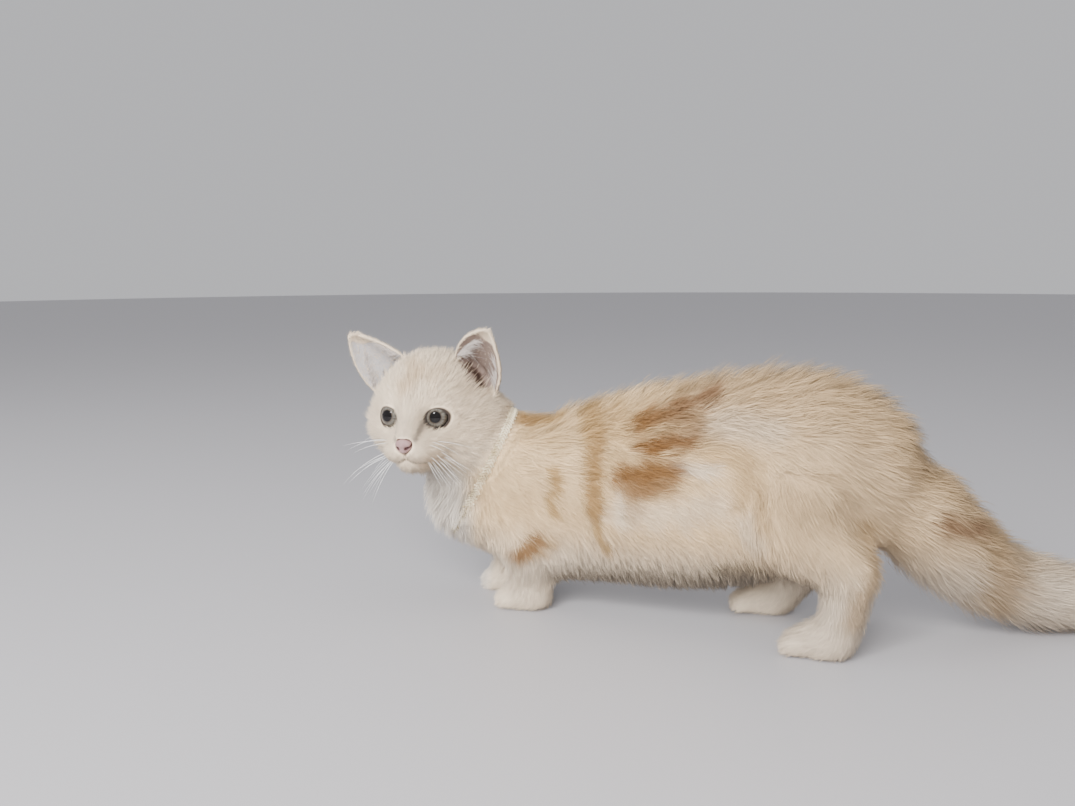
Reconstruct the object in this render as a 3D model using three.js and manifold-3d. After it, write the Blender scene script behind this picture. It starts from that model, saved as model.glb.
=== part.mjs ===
import * as THREE from "three";
import { mergeVertices } from "three/addons/utils/BufferGeometryUtils.js";
import Module from "manifold-3d";

// A short-legged young cat standing with its head turned to its left.
// Millimetres. +X runs from the rump to the chest, +Y to the cat's left, +Z up, and the floor is z = 0.

// Driving dimensions
const GAP = 0.3;
const FLOOR_PRESS = 0.8;

const HEAD_PLACE = { at: [144.1, 28, 132.2], turn: 94, nod: 2.6, tilt: 1 };

// Stations down each limb are [x, y, z, radius], out to the tips of the coat
const TRUNK = [
  [118, 0, 78, 36],
  [92, 0, 74, 46],
  [60, 0, 74, 57],
  [25, 0, 79.5, 61.5],
  [-10, 0, 84.5, 66.5],
  [-45, 0, 90, 68],
  [-75, 0, 98, 65.5],
  [-103, 0, 104, 61],
  [-124, 0, 106, 50],
];
const TRUNK_SLIM = 0.72;
const NECK = [
  [80, 0, 87, 38],
  [106, 3, 102, 35.5],
  [121, 8, 112, 35.5],
  [138, 14, 117, 32],
];
const BIB = { centre: [118, 3, 71], radii: [36, 33, 38] };

const SHOULDER = { blade: [66, 24, 102, 20], point: [98, 24, 72, 19], elbow: [72, 26, 46, 17] };
const FORELEGS = {
  left: { side: 1, paw: [77, 18], heading: -4 },
  right: { side: -1, paw: [105, -18], heading: 4 },
};
const FORELEG_FOLLOW = 0.35;
const WRIST = { back: 4, out: 2, height: 24, radius: 14.5, footHeight: 11, taper: 3 };
const FOREPAW = { long: 37, wide: 28, high: 23 };

const HAUNCH = { hip: [-108, 22, 104, 36], thigh: [-98, 27, 76, 31], knee: [-88, 30, 58, 20] };
const HINDLEGS = {
  left: { side: 1, paw: [-118, 36], hock: [-136, 36, 44], heading: -6 },
  right: { side: -1, paw: [-72, -33], hock: [-104, -33, 42], heading: 6 },
};
const HINDLEG_FOLLOW = 0.25;
const HOCK = { radius: 15.5, ahead: 4, above: 12, thicken: 4 };
const HEEL = { radius: 12.5, back: 12, height: 14, step: 8, drop: 4, taper: 2 };
const HINDPAW = { long: 39, wide: 27, high: 23 };

// Shares of a paw's length, width and height
const PALM = { back: 0.1, rise: 0.42, radii: [0.42, 0.46, 0.52] };
const TOES = {
  places: [-1.5, -0.5, 0.5, 1.5],
  radius: 0.245,
  spacing: 0.215,
  stagger: 1.6,
  forms: [1.15, 0.92, 1],
};

const TAIL = [
  [-116, 0, 112, 36],
  [-138, -4, 103.5, 34],
  [-160, -12, 87, 33],
  [-184, -25, 62, 30.5],
  [-207, -40, 40.5, 26.5],
  [-229, -53, 29, 24.5],
  [-255, -66, 22, 22.5],
  [-285, -79, 18, 19],
  [-312, -88, 13.5, 14],
  [-332, -92, 9, 8],
];
const TAIL_CUTS = [0.2, 0.5, 0.73];

// Where the body is parted into nodes
const HEAD_CUT = { point: [122, 4.5, 110], normal: [0.66, 0.45, 0.6] };
const NECK_CUT = { point: [93, -4, 101], normal: [0.8, 0.3, 0.5] };
const THROAT_CUT = { point: [125, 5, 83], normal: [-0.25, 0.1, 0.96] };
const FORELEG_BLOCK = { lean: { left: -3, right: -5 }, spread: 1.5, height: 22, radii: [31, 26, 28] };
const THIGH_BLOCK = { x: { left: -108, right: -97 }, out: 38, height: 82, radii: [44, 24, 42] };
const SHANK_BLOCK = { back: 46, front: 25, near: 16, far: 68, low: -10, top: 64 };
const PAW_TOP = 17;

const COLLAR = {
  centre: [108.4, 5.8, 98],
  facing: [0.815, 0.365, 0.45],
  radii: [38.5, 41],
  width: 7,
  thick: 3.2,
};

// The head has its own frame: x out of the face, y to the head's left, z up, origin between the eyes
const SKULL = { centre: [-13, 0, 2], radii: [37, 40, 37.5] };
const CHEEK = { centre: [-3, 22, -11.5], radii: [21, 20.5, 19] };
const JAW = { centre: [6, 0, -20], radii: [27, 25, 17] };
const BRIDGE = [
  [8, 0, 8, 13],
  [24, 0, 0, 9.5],
  [36, 0, -14.8, 6.2],
];
const WHISKER_PAD = { centre: [29, 7.2, -21.8], radii: [11.5, 9, 7.6] };
const CHIN = { centre: [27, 0, -31], radii: [10, 9, 6.5] };
const BROW = { centre: [6, 16, 11], radii: [13, 13, 9] };
const EYE_HOLLOW = { centre: [34, 20.5, -2.6], radii: [9.5, 12, 9.5] };

const EYE = {
  centre: [14.5, 15.4, -1.6],
  radius: 10,
  cornea: 1.1,
  outward: 15,
  opening: [16.8, 12.6],
  slant: 12,
};
const LID = 1.6;
const NOSE = { centre: [38.6, 0, -16], radii: [4.6, 6.3, 4.6], foot: [2.6, 2, 2.6], drop: 4.4 };
const NOSTRIL = { centre: [42.4, 3.3, -17.4], radii: [2.4, 1.7, 1.1] };
const MOUTH = {
  lip: -25.6,
  corner: [19.5, -27],
  curve: [[0.22, -2.3], [0.48, -3.9], [0.75, -3.4]],
  groove: 0.9,
  depth: 0.2,
};

const EARS = {
  left: { side: 1, inner: [-5, 20, 37], outer: [-9, 47, 12], tip: [3, 47.5, 54.5], curve: [5, 6] },
  right: { side: -1, inner: [-5, -20, 37], outer: [-9, -46, 12], tip: [3, -54.5, 51.5], curve: [2.5, 4.5] },
};
const EAR = { cup: 13, thick: 1.9, sink: 0.28, tipWidth: 4, rows: 8, columns: 10 };

// How softly neighbouring forms run into each other
const BLEND = {
  skull: 14,
  muzzle: 4,
  face: 8,
  hollow: 6,
  nose: 2,
  toes: 2.2,
  paw: 5,
  foreleg: 6,
  hindleg: 7,
  trunk: 12,
  body: 9,
};

const CELL = {
  trunk: 13.5,
  neck: 9,
  leg: 8.5,
  paw: 4.5,
  face: 3.65,
  skull: 7.9,
  tail: 11,
  tailTip: 8,
  nose: 2.9,
};

const wasm = await Module();
wasm.setup();
const { Manifold, Mesh: SolidMesh } = wasm;

// Fields. Each is a function of x, y, z that is negative inside its form and grows like a distance outside.

function ellipsoid({ centre: [cx, cy, cz], radii: [rx, ry, rz] }) {
  return (x, y, z) => {
    const [u, v, w] = [(x - cx) / rx, (y - cy) / ry, (z - cz) / rz];
    const reach = Math.hypot(u, v, w);
    const slope = Math.hypot(u / rx, v / ry, w / rz);
    return slope < 1e-9 ? -Math.min(rx, ry, rz) : (reach * (reach - 1)) / slope;
  };
}

// A limb of round section through its stations, with slim as its width over its height
function limb(stations, slim = 1) {
  const STEPS = 5;
  const course = new THREE.CatmullRomCurve3(
    stations.map(([x, y, z]) => new THREE.Vector3(x, y / slim, z)),
    false,
    "catmullrom",
    0.5,
  );
  const girth = new THREE.SplineCurve(stations.map((station, i) => new THREE.Vector2(i, station[3])));
  const count = STEPS * (stations.length - 1);
  const beads = Array.from({ length: count + 1 }, (_, i) => ({
    point: course.getPoint(i / count),
    radius: girth.getPoint(i / count).y,
  }));
  const pieces = beads.slice(1).map((bead, i) => {
    const along = bead.point.clone().sub(beads[i].point);
    return { from: beads[i].point, along, size: along.lengthSq(), radius: beads[i].radius,
      growth: bead.radius - beads[i].radius };
  });
  return (x, y, z) => {
    let nearest = Infinity;
    for (const { from, along, size, radius, growth } of pieces) {
      const [u, v, w] = [x - from.x, y / slim - from.y, z - from.z];
      const t = Math.min(1, Math.max(0, (u * along.x + v * along.y + w * along.z) / size));
      const gap = Math.hypot(u - t * along.x, v - t * along.y, w - t * along.z) - radius - t * growth;
      nearest = Math.min(nearest, gap);
    }
    return nearest;
  };
}

function softMin(a, b, width) {
  const mix = Math.max(width - Math.abs(a - b), 0) / width;
  return Math.min(a, b) - (mix * mix * width) / 4;
}

// Forms joined with a fillet of about the given width
function joined(width, ...fields) {
  return (x, y, z) => fields.map((field) => field(x, y, z)).reduce((a, b) => softMin(a, b, width));
}

function hollowed(width, field, hollow) {
  return (x, y, z) => -softMin(-field(x, y, z), hollow(x, y, z), width);
}

function paired(field) {
  return (x, y, z) => field(x, Math.abs(y), z);
}

function moved(field, matrix) {
  const e = matrix.clone().invert().elements;
  return (x, y, z) =>
    field(
      e[0] * x + e[4] * y + e[8] * z + e[12],
      e[1] * x + e[5] * y + e[9] * z + e[13],
      e[2] * x + e[6] * y + e[10] * z + e[14],
    );
}

// Surfaces

function gridLines(...marks) {
  const lines = [marks[0]];
  for (let i = 0; i + 2 < marks.length; i += 2) {
    const count = Math.ceil((marks[i + 2] - marks[i]) / marks[i + 1]);
    for (let n = 1; n <= count; n += 1) {
      lines.push(marks[i] + ((marks[i + 2] - marks[i]) * n) / count);
    }
  }
  return lines;
}

function slopeOf(field, x, y, z) {
  const STEP = 0.05;
  return [
    (field(x + STEP, y, z) - field(x - STEP, y, z)) / (2 * STEP),
    (field(x, y + STEP, z) - field(x, y - STEP, z)) / (2 * STEP),
    (field(x, y, z + STEP) - field(x, y, z - STEP)) / (2 * STEP),
  ];
}

// The corners of a grid cell are numbered by their bits along x, y and z. An edge is a pair of corners.
const EDGES = [0, 1, 2].flatMap((axis) =>
  [0, 1, 2, 3].map((n) => {
    const from = ((n & 1) << (axis + 1) % 3) + ((n >> 1) << (axis + 2) % 3);
    return [from, from + (1 << axis)];
  }),
);
const FACES = [1, 2, 4].flatMap((bit) =>
  [0, bit].map((side) => {
    const onFace = (edge) => edge.every((corner) => (corner & bit) === side);
    return EDGES.flatMap((edge, e) => (onFace(edge) ? [e] : []));
  }),
);

// For each edge of a cell, the sheet of the surface that crosses it there, or -1 where none does
function sheetsOf(values) {
  const inside = values.map((value) => value < 0);
  const sheet = EDGES.map(([a, b], e) => (inside[a] === inside[b] ? -1 : e));
  const link = (e, f) => {
    const [from, to] = [sheet[e], sheet[f]];
    sheet.forEach((s, n) => {
      sheet[n] = s === from ? to : s;
    });
  };
  for (const face of FACES) {
    const crossed = face.filter((e) => sheet[e] >= 0);
    const total = face.reduce((sum, e) => sum + values[EDGES[e][0]] + values[EDGES[e][1]], 0);
    const ownCorner = (e) => EDGES[e].find((corner) => inside[corner] === total > 0);
    for (const e of crossed) {
      for (const f of crossed) {
        if (crossed.length === 2 || ownCorner(e) === ownCorner(f)) {
          link(e, f);
        }
      }
    }
  }
  return sheet;
}

// The closed surface where a field is zero: one point for each sheet of it in a grid cell, drawn onto
// the surface, and one square across each grid edge that it crosses
function surface(field, xs, ys, zs) {
  const CELL_MARGIN = 0.05;
  const lines = [xs, ys, zs];
  const [nx, ny, nz] = lines.map((line) => line.length);
  const stride = [1, nx, nx * ny];
  const values = new Float64Array(nx * ny * nz);
  const outermost = (i, j, k) => !i || !j || !k || i === nx - 1 || j === ny - 1 || k === nz - 1;
  for (let k = 0; k < nz; k += 1) {
    for (let j = 0; j < ny; j += 1) {
      for (let i = 0; i < nx; i += 1) {
        const value = field(xs[i], ys[j], zs[k]);
        values[i + j * stride[1] + k * stride[2]] = outermost(i, j, k) ? Math.max(value, 1) : value;
      }
    }
  }

  const points = [];
  const pointOf = new Map();
  const keyOf = (base, edge) => base * EDGES.length + edge;
  for (let k = 0; k < nz - 1; k += 1) {
    for (let j = 0; j < ny - 1; j += 1) {
      for (let i = 0; i < nx - 1; i += 1) {
        const base = i + j * stride[1] + k * stride[2];
        const bitsOf = (corner) => [corner & 1, (corner >> 1) & 1, corner >> 2];
        const cell = [0, 1, 2, 3, 4, 5, 6, 7].map(
          (corner) => values[bitsOf(corner).reduce((sum, bit, axis) => sum + bit * stride[axis], base)],
        );
        if (cell.every((value) => value < 0) || cell.every((value) => value >= 0)) {
          continue;
        }
        const low = [xs[i], ys[j], zs[k]];
        const size = [xs[i + 1] - xs[i], ys[j + 1] - ys[j], zs[k + 1] - zs[k]];
        const sheet = sheetsOf(cell);
        for (const id of new Set(sheet.filter((s) => s >= 0))) {
          const crossed = EDGES.flatMap((_, e) => (sheet[e] === id ? [e] : []));
          let point = [0, 0, 0];
          for (const e of crossed) {
            const [a, b] = EDGES[e];
            const t = cell[a] / (cell[a] - cell[b]);
            const [from, to] = [bitsOf(a), bitsOf(b)];
            point = point.map((sum, axis) => {
              const place = from[axis] + t * (to[axis] - from[axis]);
              return sum + (low[axis] + size[axis] * place) / crossed.length;
            });
            pointOf.set(keyOf(base, e), points.length);
          }
          if (!outermost(i, j, k) && !outermost(i + 1, j + 1, k + 1)) {
            for (let pass = 0; pass < 2; pass += 1) {
              const slope = slopeOf(field, ...point);
              const scale = field(...point) / (slope.reduce((sum, s) => sum + s * s, 0) + 1e-9);
              point = point.map((v, axis) => {
                const margin = CELL_MARGIN * size[axis];
                const most = low[axis] + size[axis] - margin;
                return Math.min(most, Math.max(low[axis] + margin, v - slope[axis] * scale));
              });
            }
          }
          points.push(point);
        }
      }
    }
  }

  const triangles = [];
  const apart = (a, b) => Math.hypot(...points[a].map((v, axis) => v - points[b][axis]));
  for (const key of pointOf.keys()) {
    const edge = key % EDGES.length;
    if (edge % 4) {
      continue;
    }
    const base = (key - edge) / EDGES.length;
    const axis = edge / 4;
    const [across, up] = [stride[(axis + 1) % 3], stride[(axis + 2) % 3]];
    const ring = [3, 2, 0, 1].map((n) => {
      const cell = base - (n & 1) * across - (n >> 1) * up;
      return pointOf.get(keyOf(cell, edge + n));
    });
    if (ring.includes(undefined)) {
      continue;
    }
    const [a, b, c, d] = values[base] < 0 ? ring : ring.reverse();
    triangles.push(...(apart(a, c) < apart(b, d) ? [a, b, c, a, c, d] : [a, b, d, b, c, d]));
  }
  return new THREE.BufferGeometry()
    .setAttribute("position", new THREE.Float32BufferAttribute(points.flat(), 3))
    .setIndex(triangles);
}

// Solids

function solid(geometry, matrix = new THREE.Matrix4(), weld = 1e-4) {
  const bare = new THREE.BufferGeometry().setAttribute("position", geometry.getAttribute("position").clone());
  bare.setIndex(geometry.index);
  bare.applyMatrix4(matrix);
  const merged = mergeVertices(bare, weld);
  const corners = [];
  for (let i = 0; i < merged.index.count; i += 3) {
    const [a, b, c] = merged.index.array.slice(i, i + 3);
    if (a !== b && b !== c && c !== a) {
      corners.push(a, b, c);
    }
  }
  return new Manifold(
    new SolidMesh({
      numProp: 3,
      vertProperties: merged.getAttribute("position").array,
      triVerts: new Uint32Array(corners),
    }),
  );
}

function largest(shape) {
  return shape.decompose().reduce((best, piece) => (piece.volume() > best.volume() ? piece : best));
}

function geometryOf(shape) {
  const { vertProperties, triVerts } = shape.getMesh();
  const geometry = new THREE.BufferGeometry();
  geometry.setAttribute("position", new THREE.BufferAttribute(vertProperties, 3));
  geometry.setIndex(new THREE.BufferAttribute(triVerts, 1));
  return geometry;
}

// The shape with points that lie closer than the weld made one, where it stays closed
function welded(shape) {
  const WELD = 0.03;
  try {
    return solid(geometryOf(shape), new THREE.Matrix4(), WELD);
  } catch {
    return shape;
  }
}

// All the space on the side of a plane that its normal points to, begun a little further on by inset
const REACH = 900;
function beyond(point, normal, inset = 0) {
  const facing = new THREE.Vector3(...normal).normalize();
  const turn = new THREE.Quaternion().setFromUnitVectors(new THREE.Vector3(0, 0, 1), facing);
  const middle = new THREE.Vector3(...point).addScaledVector(facing, inset + REACH / 2);
  return solid(
    new THREE.BoxGeometry(REACH, REACH, REACH),
    new THREE.Matrix4().compose(middle, turn, new THREE.Vector3(1, 1, 1)),
  );
}

function block(low, high, grow = 0) {
  const size = high.map((v, axis) => v - low[axis] + 2 * grow);
  const middle = high.map((v, axis) => (v + low[axis]) / 2);
  return solid(new THREE.BoxGeometry(...size), new THREE.Matrix4().makeTranslation(...middle));
}

// An upright or lying round column with its axis along x, y or z
function column(centre, radii, axis, grow = 0) {
  const SIDES = 24;
  const round = new THREE.CylinderGeometry(1, 1, 1, SIDES);
  if (axis === "z") {
    round.rotateX(Math.PI / 2);
  }
  const scale = radii.map((radius, i) => (i === "xyz".indexOf(axis) ? 2 * radius : radius) + grow);
  round.scale(...scale);
  return solid(round, new THREE.Matrix4().makeTranslation(...centre));
}

const above = (height, inset = 0) => beyond([0, 0, height], [0, 0, 1], inset);

// Forms of the head

const degrees = THREE.MathUtils.degToRad;
const headAngles = [HEAD_PLACE.tilt, HEAD_PLACE.nod, HEAD_PLACE.turn].map(degrees);
const headTurn = new THREE.Euler(...headAngles, "ZYX");
const headMatrix = new THREE.Matrix4()
  .makeRotationFromEuler(headTurn)
  .setPosition(...HEAD_PLACE.at);
const headToBody = (point) => new THREE.Vector3(...point).applyMatrix4(headMatrix).toArray();

const skullField = joined(BLEND.skull, ellipsoid(SKULL), paired(ellipsoid(CHEEK)), ellipsoid(JAW));
const muzzleField = joined(BLEND.muzzle, limb(BRIDGE), paired(ellipsoid(WHISKER_PAD)), ellipsoid(CHIN));
const faceField = hollowed(
  BLEND.hollow,
  joined(BLEND.face, skullField, paired(ellipsoid(BROW)), muzzleField),
  paired(ellipsoid(EYE_HOLLOW)),
);
const noseFoot = [NOSE.centre[0], 0, NOSE.centre[2] - NOSE.drop];
const noseField = joined(BLEND.nose, ellipsoid(NOSE), ellipsoid({ centre: noseFoot, radii: NOSE.foot }));

// Forms of the body

function pawField({ long, wide, high }, [x, y], heading) {
  const size = [long, wide, high];
  const palm = ellipsoid({
    centre: [-long * PALM.back, 0, high * PALM.rise],
    radii: PALM.radii.map((share, axis) => share * size[axis]),
  });
  const toeRadius = wide * TOES.radius;
  const toes = TOES.places.map((place) => {
    const front = long / 2 - toeRadius - TOES.stagger * Math.abs(place);
    const centre = [front, place * wide * TOES.spacing, toeRadius - FLOOR_PRESS];
    return ellipsoid({ centre, radii: TOES.forms.map((share) => share * toeRadius) });
  });
  const turn = new THREE.Matrix4().makeRotationZ(degrees(heading));
  return moved(joined(BLEND.paw, palm, joined(BLEND.toes, ...toes)), turn.setPosition(x, y, 0));
}

function foreleg({ side, paw: [x, y], heading }) {
  const shift = (x - FORELEGS.left.paw[0]) * FORELEG_FOLLOW;
  const sided = ([px, py, pz, radius]) => [px + shift, side * py, pz, radius];
  const lower = limb([
    sided(SHOULDER.elbow),
    [x - WRIST.back, y + side * WRIST.out, WRIST.height, WRIST.radius],
    [x, y, WRIST.footHeight, WRIST.radius - WRIST.taper],
  ]);
  const upper = limb([sided(SHOULDER.blade), sided(SHOULDER.point), sided(SHOULDER.elbow)]);
  return joined(BLEND.foreleg, upper, lower, pawField(FOREPAW, [x, y], heading));
}

function hindleg({ side, paw: [x, y], hock, heading }) {
  const shift = (x - HINDLEGS.left.paw[0]) * HINDLEG_FOLLOW;
  const sided = ([px, py, pz, radius]) => [px + shift, side * py, pz, radius];
  const haunch = limb([sided(HAUNCH.hip), sided(HAUNCH.thigh), sided(HAUNCH.knee)]);
  const shank = limb([
    sided(HAUNCH.thigh),
    [hock[0] + HOCK.ahead, hock[1], hock[2] + HOCK.above, HOCK.radius + HOCK.thicken],
    [...hock, HOCK.radius],
    [x - HEEL.back, y, HEEL.height, HEEL.radius],
    [x - HEEL.back + HEEL.step, y, HEEL.height - HEEL.drop, HEEL.radius - HEEL.taper],
  ]);
  return joined(BLEND.hindleg, haunch, shank, pawField(HINDPAW, [x, y], heading));
}

const trunkField = joined(BLEND.trunk, limb(TRUNK, TRUNK_SLIM), ellipsoid(BIB), limb(NECK), limb(TAIL));
const bodyField = joined(
  BLEND.body,
  trunkField,
  foreleg(FORELEGS.left),
  foreleg(FORELEGS.right),
  hindleg(HINDLEGS.left),
  hindleg(HINDLEGS.right),
  moved(faceField, headMatrix),
);
const grown = (field, by) => (x, y, z) => field(x, y, z) - by;

function bodySurface(cell, low, high, grow = 0) {
  const lines = low.map((v, axis) => gridLines(v, cell, high[axis]));
  return solid(surface(grown(bodyField, grow), ...lines));
}

// Planes and blocks that part the body

const ahead = (cut, inset = 0) => beyond(cut.point, cut.normal, inset);
const behind = (cut, inset = 0) => beyond(cut.point, cut.normal.map((v) => -v), inset);

const tailCourse = new THREE.CatmullRomCurve3(TAIL.map(([x, y, z]) => new THREE.Vector3(x, y, z)));
const tailCuts = TAIL_CUTS.map((t) => ({
  point: tailCourse.getPoint(t).toArray(),
  normal: tailCourse.getTangent(t).toArray(),
}));

const forelegBlock = (side, grow = 0) => {
  const [x, y] = FORELEGS[side].paw;
  const { lean, spread, height, radii } = FORELEG_BLOCK;
  return column([x + lean[side], y * spread, height], radii, "z", grow);
};
const thighBlock = (side, grow = 0) => {
  const { x, out, height, radii } = THIGH_BLOCK;
  return column([x[side], out * HINDLEGS[side].side, height], radii, "y", grow);
};
const shankBlock = (side, grow = 0) => {
  const x = HINDLEGS[side].paw[0];
  const { back, front, near, far, low, top } = SHANK_BLOCK;
  const [right, left] = side === "left" ? [near, far] : [-far, -near];
  return block([x - back, right, low], [x + front, left, top], grow);
};
const neckSpace = (inset) => ahead(NECK_CUT, inset).intersect(ahead(THROAT_CUT, inset));

// The head and what it carries

const toHead = headMatrix.clone().invert();
function inHead({ point, normal }) {
  return {
    point: new THREE.Vector3(...point).applyMatrix4(toHead).toArray(),
    normal: new THREE.Vector3(...normal).transformDirection(toHead).toArray(),
  };
}
const headField = moved(bodyField, toHead);

function headSurface(grow = 0) {
  const { skull, face } = CELL;
  const xs = gridLines(-58, skull, 4, face, 50);
  const ys = gridLines(-58, skull, -31.5, face, 31.5, skull, 58);
  const zs = gridLines(-58, skull, -40, face, 16, skull, 52);
  return solid(surface(grown(headField, grow), xs, ys, zs));
}

// How far out the face lies at a place y, z of its front
function faceAt(y, z) {
  let [inside, outside] = [0, 60];
  for (let pass = 0; pass < 24; pass += 1) {
    const x = (inside + outside) / 2;
    if (faceField(x, y, z) < 0) {
      inside = x;
    } else {
      outside = x;
    }
  }
  return inside;
}

function tube(path, radius, steps) {
  const SIDES = 5;
  const ring = Array.from({ length: SIDES }, (_, i) => {
    const angle = (2 * Math.PI * i) / SIDES;
    return new THREE.Vector2(radius * Math.cos(angle), radius * Math.sin(angle));
  });
  const outline = new THREE.Shape(ring);
  return solid(new THREE.ExtrudeGeometry(outline, { steps, extrudePath: path, bevelEnabled: false }));
}

function mouthLine() {
  const [cornerY, cornerZ] = MOUTH.corner;
  const half = [...MOUTH.curve, [1, cornerZ - MOUTH.lip]];
  const place = (y, drop) => {
    const z = MOUTH.lip + drop;
    return new THREE.Vector3(faceAt(y, z) - MOUTH.depth, y, z);
  };
  const right = half.map(([share, drop]) => place(-share * cornerY, drop)).reverse();
  const left = half.map(([share, drop]) => place(share * cornerY, drop));
  return new THREE.CatmullRomCurve3([...right, place(0, 0), ...left]);
}

function philtrum() {
  const from = noseFoot[2];
  const heights = [0, 0.33, 0.67, 1].map((share) => from + share * (MOUTH.lip - from));
  return new THREE.CatmullRomCurve3(heights.map((z) => new THREE.Vector3(faceAt(0, z), 0, z)));
}

function eyeFacing(side) {
  return new THREE.Vector3(1, 0, 0).applyAxisAngle(new THREE.Vector3(0, 0, 1), side * degrees(EYE.outward));
}

function eyeCentre(side) {
  const [x, y, z] = EYE.centre;
  return new THREE.Vector3(x, side * y, z);
}

// The ball of the eye, a little more curved in front
function eyeball(side, grow = 0) {
  const [STEPS, AROUND, CORNEA_FROM] = [12, 16, 0.6];
  const profile = Array.from({ length: STEPS + 1 }, (_, i) => {
    const angle = (Math.PI * i) / STEPS;
    const front = Math.max(0, -Math.cos(angle) - CORNEA_FROM) / (1 - CORNEA_FROM);
    const radius = EYE.radius + grow + EYE.cornea * Math.sin((front * Math.PI) / 2);
    return new THREE.Vector2(Math.abs(radius * Math.sin(angle)), -radius * Math.cos(angle));
  });
  profile[0].x = 0;
  profile[STEPS].x = 0;
  const turn = new THREE.Quaternion().setFromUnitVectors(new THREE.Vector3(0, -1, 0), eyeFacing(side));
  const matrix = new THREE.Matrix4().compose(eyeCentre(side), turn, new THREE.Vector3(1, 1, 1));
  return solid(new THREE.LatheGeometry(profile, AROUND), matrix);
}

function ball(centre, radii, [around, down] = [16, 12]) {
  return solid(
    new THREE.SphereGeometry(1, around, down),
    new THREE.Matrix4().compose(
      new THREE.Vector3(...centre),
      new THREE.Quaternion(),
      new THREE.Vector3(...radii),
    ),
  );
}

// The gap between the lids, carried outwards from inside the eye
function lidOpening(side) {
  const STEPS = 9;
  const [long, high] = EYE.opening;
  const upper = Array.from({ length: STEPS }, (_, i) => {
    const share = (2 * i) / STEPS - 1;
    return [share, Math.pow(1 - Math.pow(Math.abs(share), 2.2), 0.75)];
  });
  const rim = [...upper, ...upper.map(([share, rise]) => [-share, -rise])];
  const outline = new THREE.Shape(rim.map(([u, v]) => new THREE.Vector2((u * long) / 2, (v * high) / 2)));
  const [FROM, LENGTH] = [2, 18];
  const prism = new THREE.ExtrudeGeometry(outline, { depth: LENGTH, bevelEnabled: false });
  prism.translate(0, 0, FROM);
  const out = eyeFacing(side);
  const across = new THREE.Vector3(0, 0, 1).cross(out);
  const up = out.clone().cross(across);
  const matrix = new THREE.Matrix4()
    .makeBasis(across, up, out)
    .multiply(new THREE.Matrix4().makeRotationZ(side * degrees(EYE.slant)))
    .setPosition(eyeCentre(side));
  return solid(prism, matrix);
}

// A thin curved shell: pointAt(u, v) gives its middle, with u from 0 to 1 and v from -1 to 1
function shell(rows, columns, thick, pointAt) {
  const NUDGE = 0.01;
  const sheets = [1, -1].map((face) =>
    Array.from({ length: (rows + 1) * (columns + 1) }, (_, n) => {
      const u = Math.floor(n / (columns + 1)) / rows;
      const v = ((n % (columns + 1)) / columns) * 2 - 1;
      const along = pointAt(u + NUDGE, v).sub(pointAt(u - NUDGE, v));
      const across = pointAt(u, v + NUDGE).sub(pointAt(u, v - NUDGE));
      return pointAt(u, v).addScaledVector(along.cross(across).normalize(), (face * thick) / 2);
    }),
  );
  const points = sheets.flat();
  const other = sheets[0].length;
  const triangles = [];
  const quad = (a, b, c, d) => triangles.push(a, b, c, a, c, d);
  const at = (row, column) => row * (columns + 1) + column;
  for (let row = 0; row < rows; row += 1) {
    for (let column = 0; column < columns; column += 1) {
      const [a, b] = [at(row, column), at(row + 1, column)];
      const [c, d] = [b + 1, a + 1];
      triangles.push(a, b, c, a, c, d);
      triangles.push(other + a, other + c, other + b, other + a, other + d, other + c);
    }
  }
  const rim = [];
  for (let column = 0; column < columns; column += 1) {
    rim.push(at(0, column));
  }
  for (let row = 0; row < rows; row += 1) {
    rim.push(at(row, columns));
  }
  for (let column = columns; column > 0; column -= 1) {
    rim.push(at(rows, column));
  }
  for (let row = rows; row > 0; row -= 1) {
    rim.push(at(row, 0));
  }
  rim.forEach((a, n) => {
    const b = rim[(n + 1) % rim.length];
    quad(a, b, other + b, other + a);
  });
  return new THREE.BufferGeometry()
    .setAttribute("position", new THREE.Float32BufferAttribute(points.flatMap((p) => p.toArray()), 3))
    .setIndex(triangles);
}

function earShell({ side, inner, outer, tip, curve }) {
  const [root, rim, top] = [inner, outer, tip].map((point) => new THREE.Vector3(...point));
  const width = rim.clone().sub(root);
  const foot = root.clone().add(rim).multiplyScalar(0.5);
  const back = top.clone().sub(foot).cross(width).multiplyScalar(side).normalize();
  const across = width.clone().normalize();
  const pointAt = (u, v) => {
    const share = (1 + EAR.sink) * u - EAR.sink;
    const arch = 4 * Math.max(share, -0.1) * (1 - share);
    const [innerBow, outerBow] = curve.map((bow) => bow * arch + (EAR.tipWidth / 2) * Math.max(share, 0));
    const innerEdge = root.clone().lerp(top, share).addScaledVector(across, -innerBow);
    const outerEdge = rim.clone().lerp(top, share).addScaledVector(across, outerBow);
    const depth = EAR.cup * Math.pow(Math.max(1 - share, 0), 0.8) * (1 - v * v);
    return innerEdge.lerp(outerEdge, (v + 1) / 2).addScaledVector(back, depth);
  };
  const geometry = shell(EAR.rows, EAR.columns, EAR.thick, pointAt);
  return solid(geometry);
}

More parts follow.
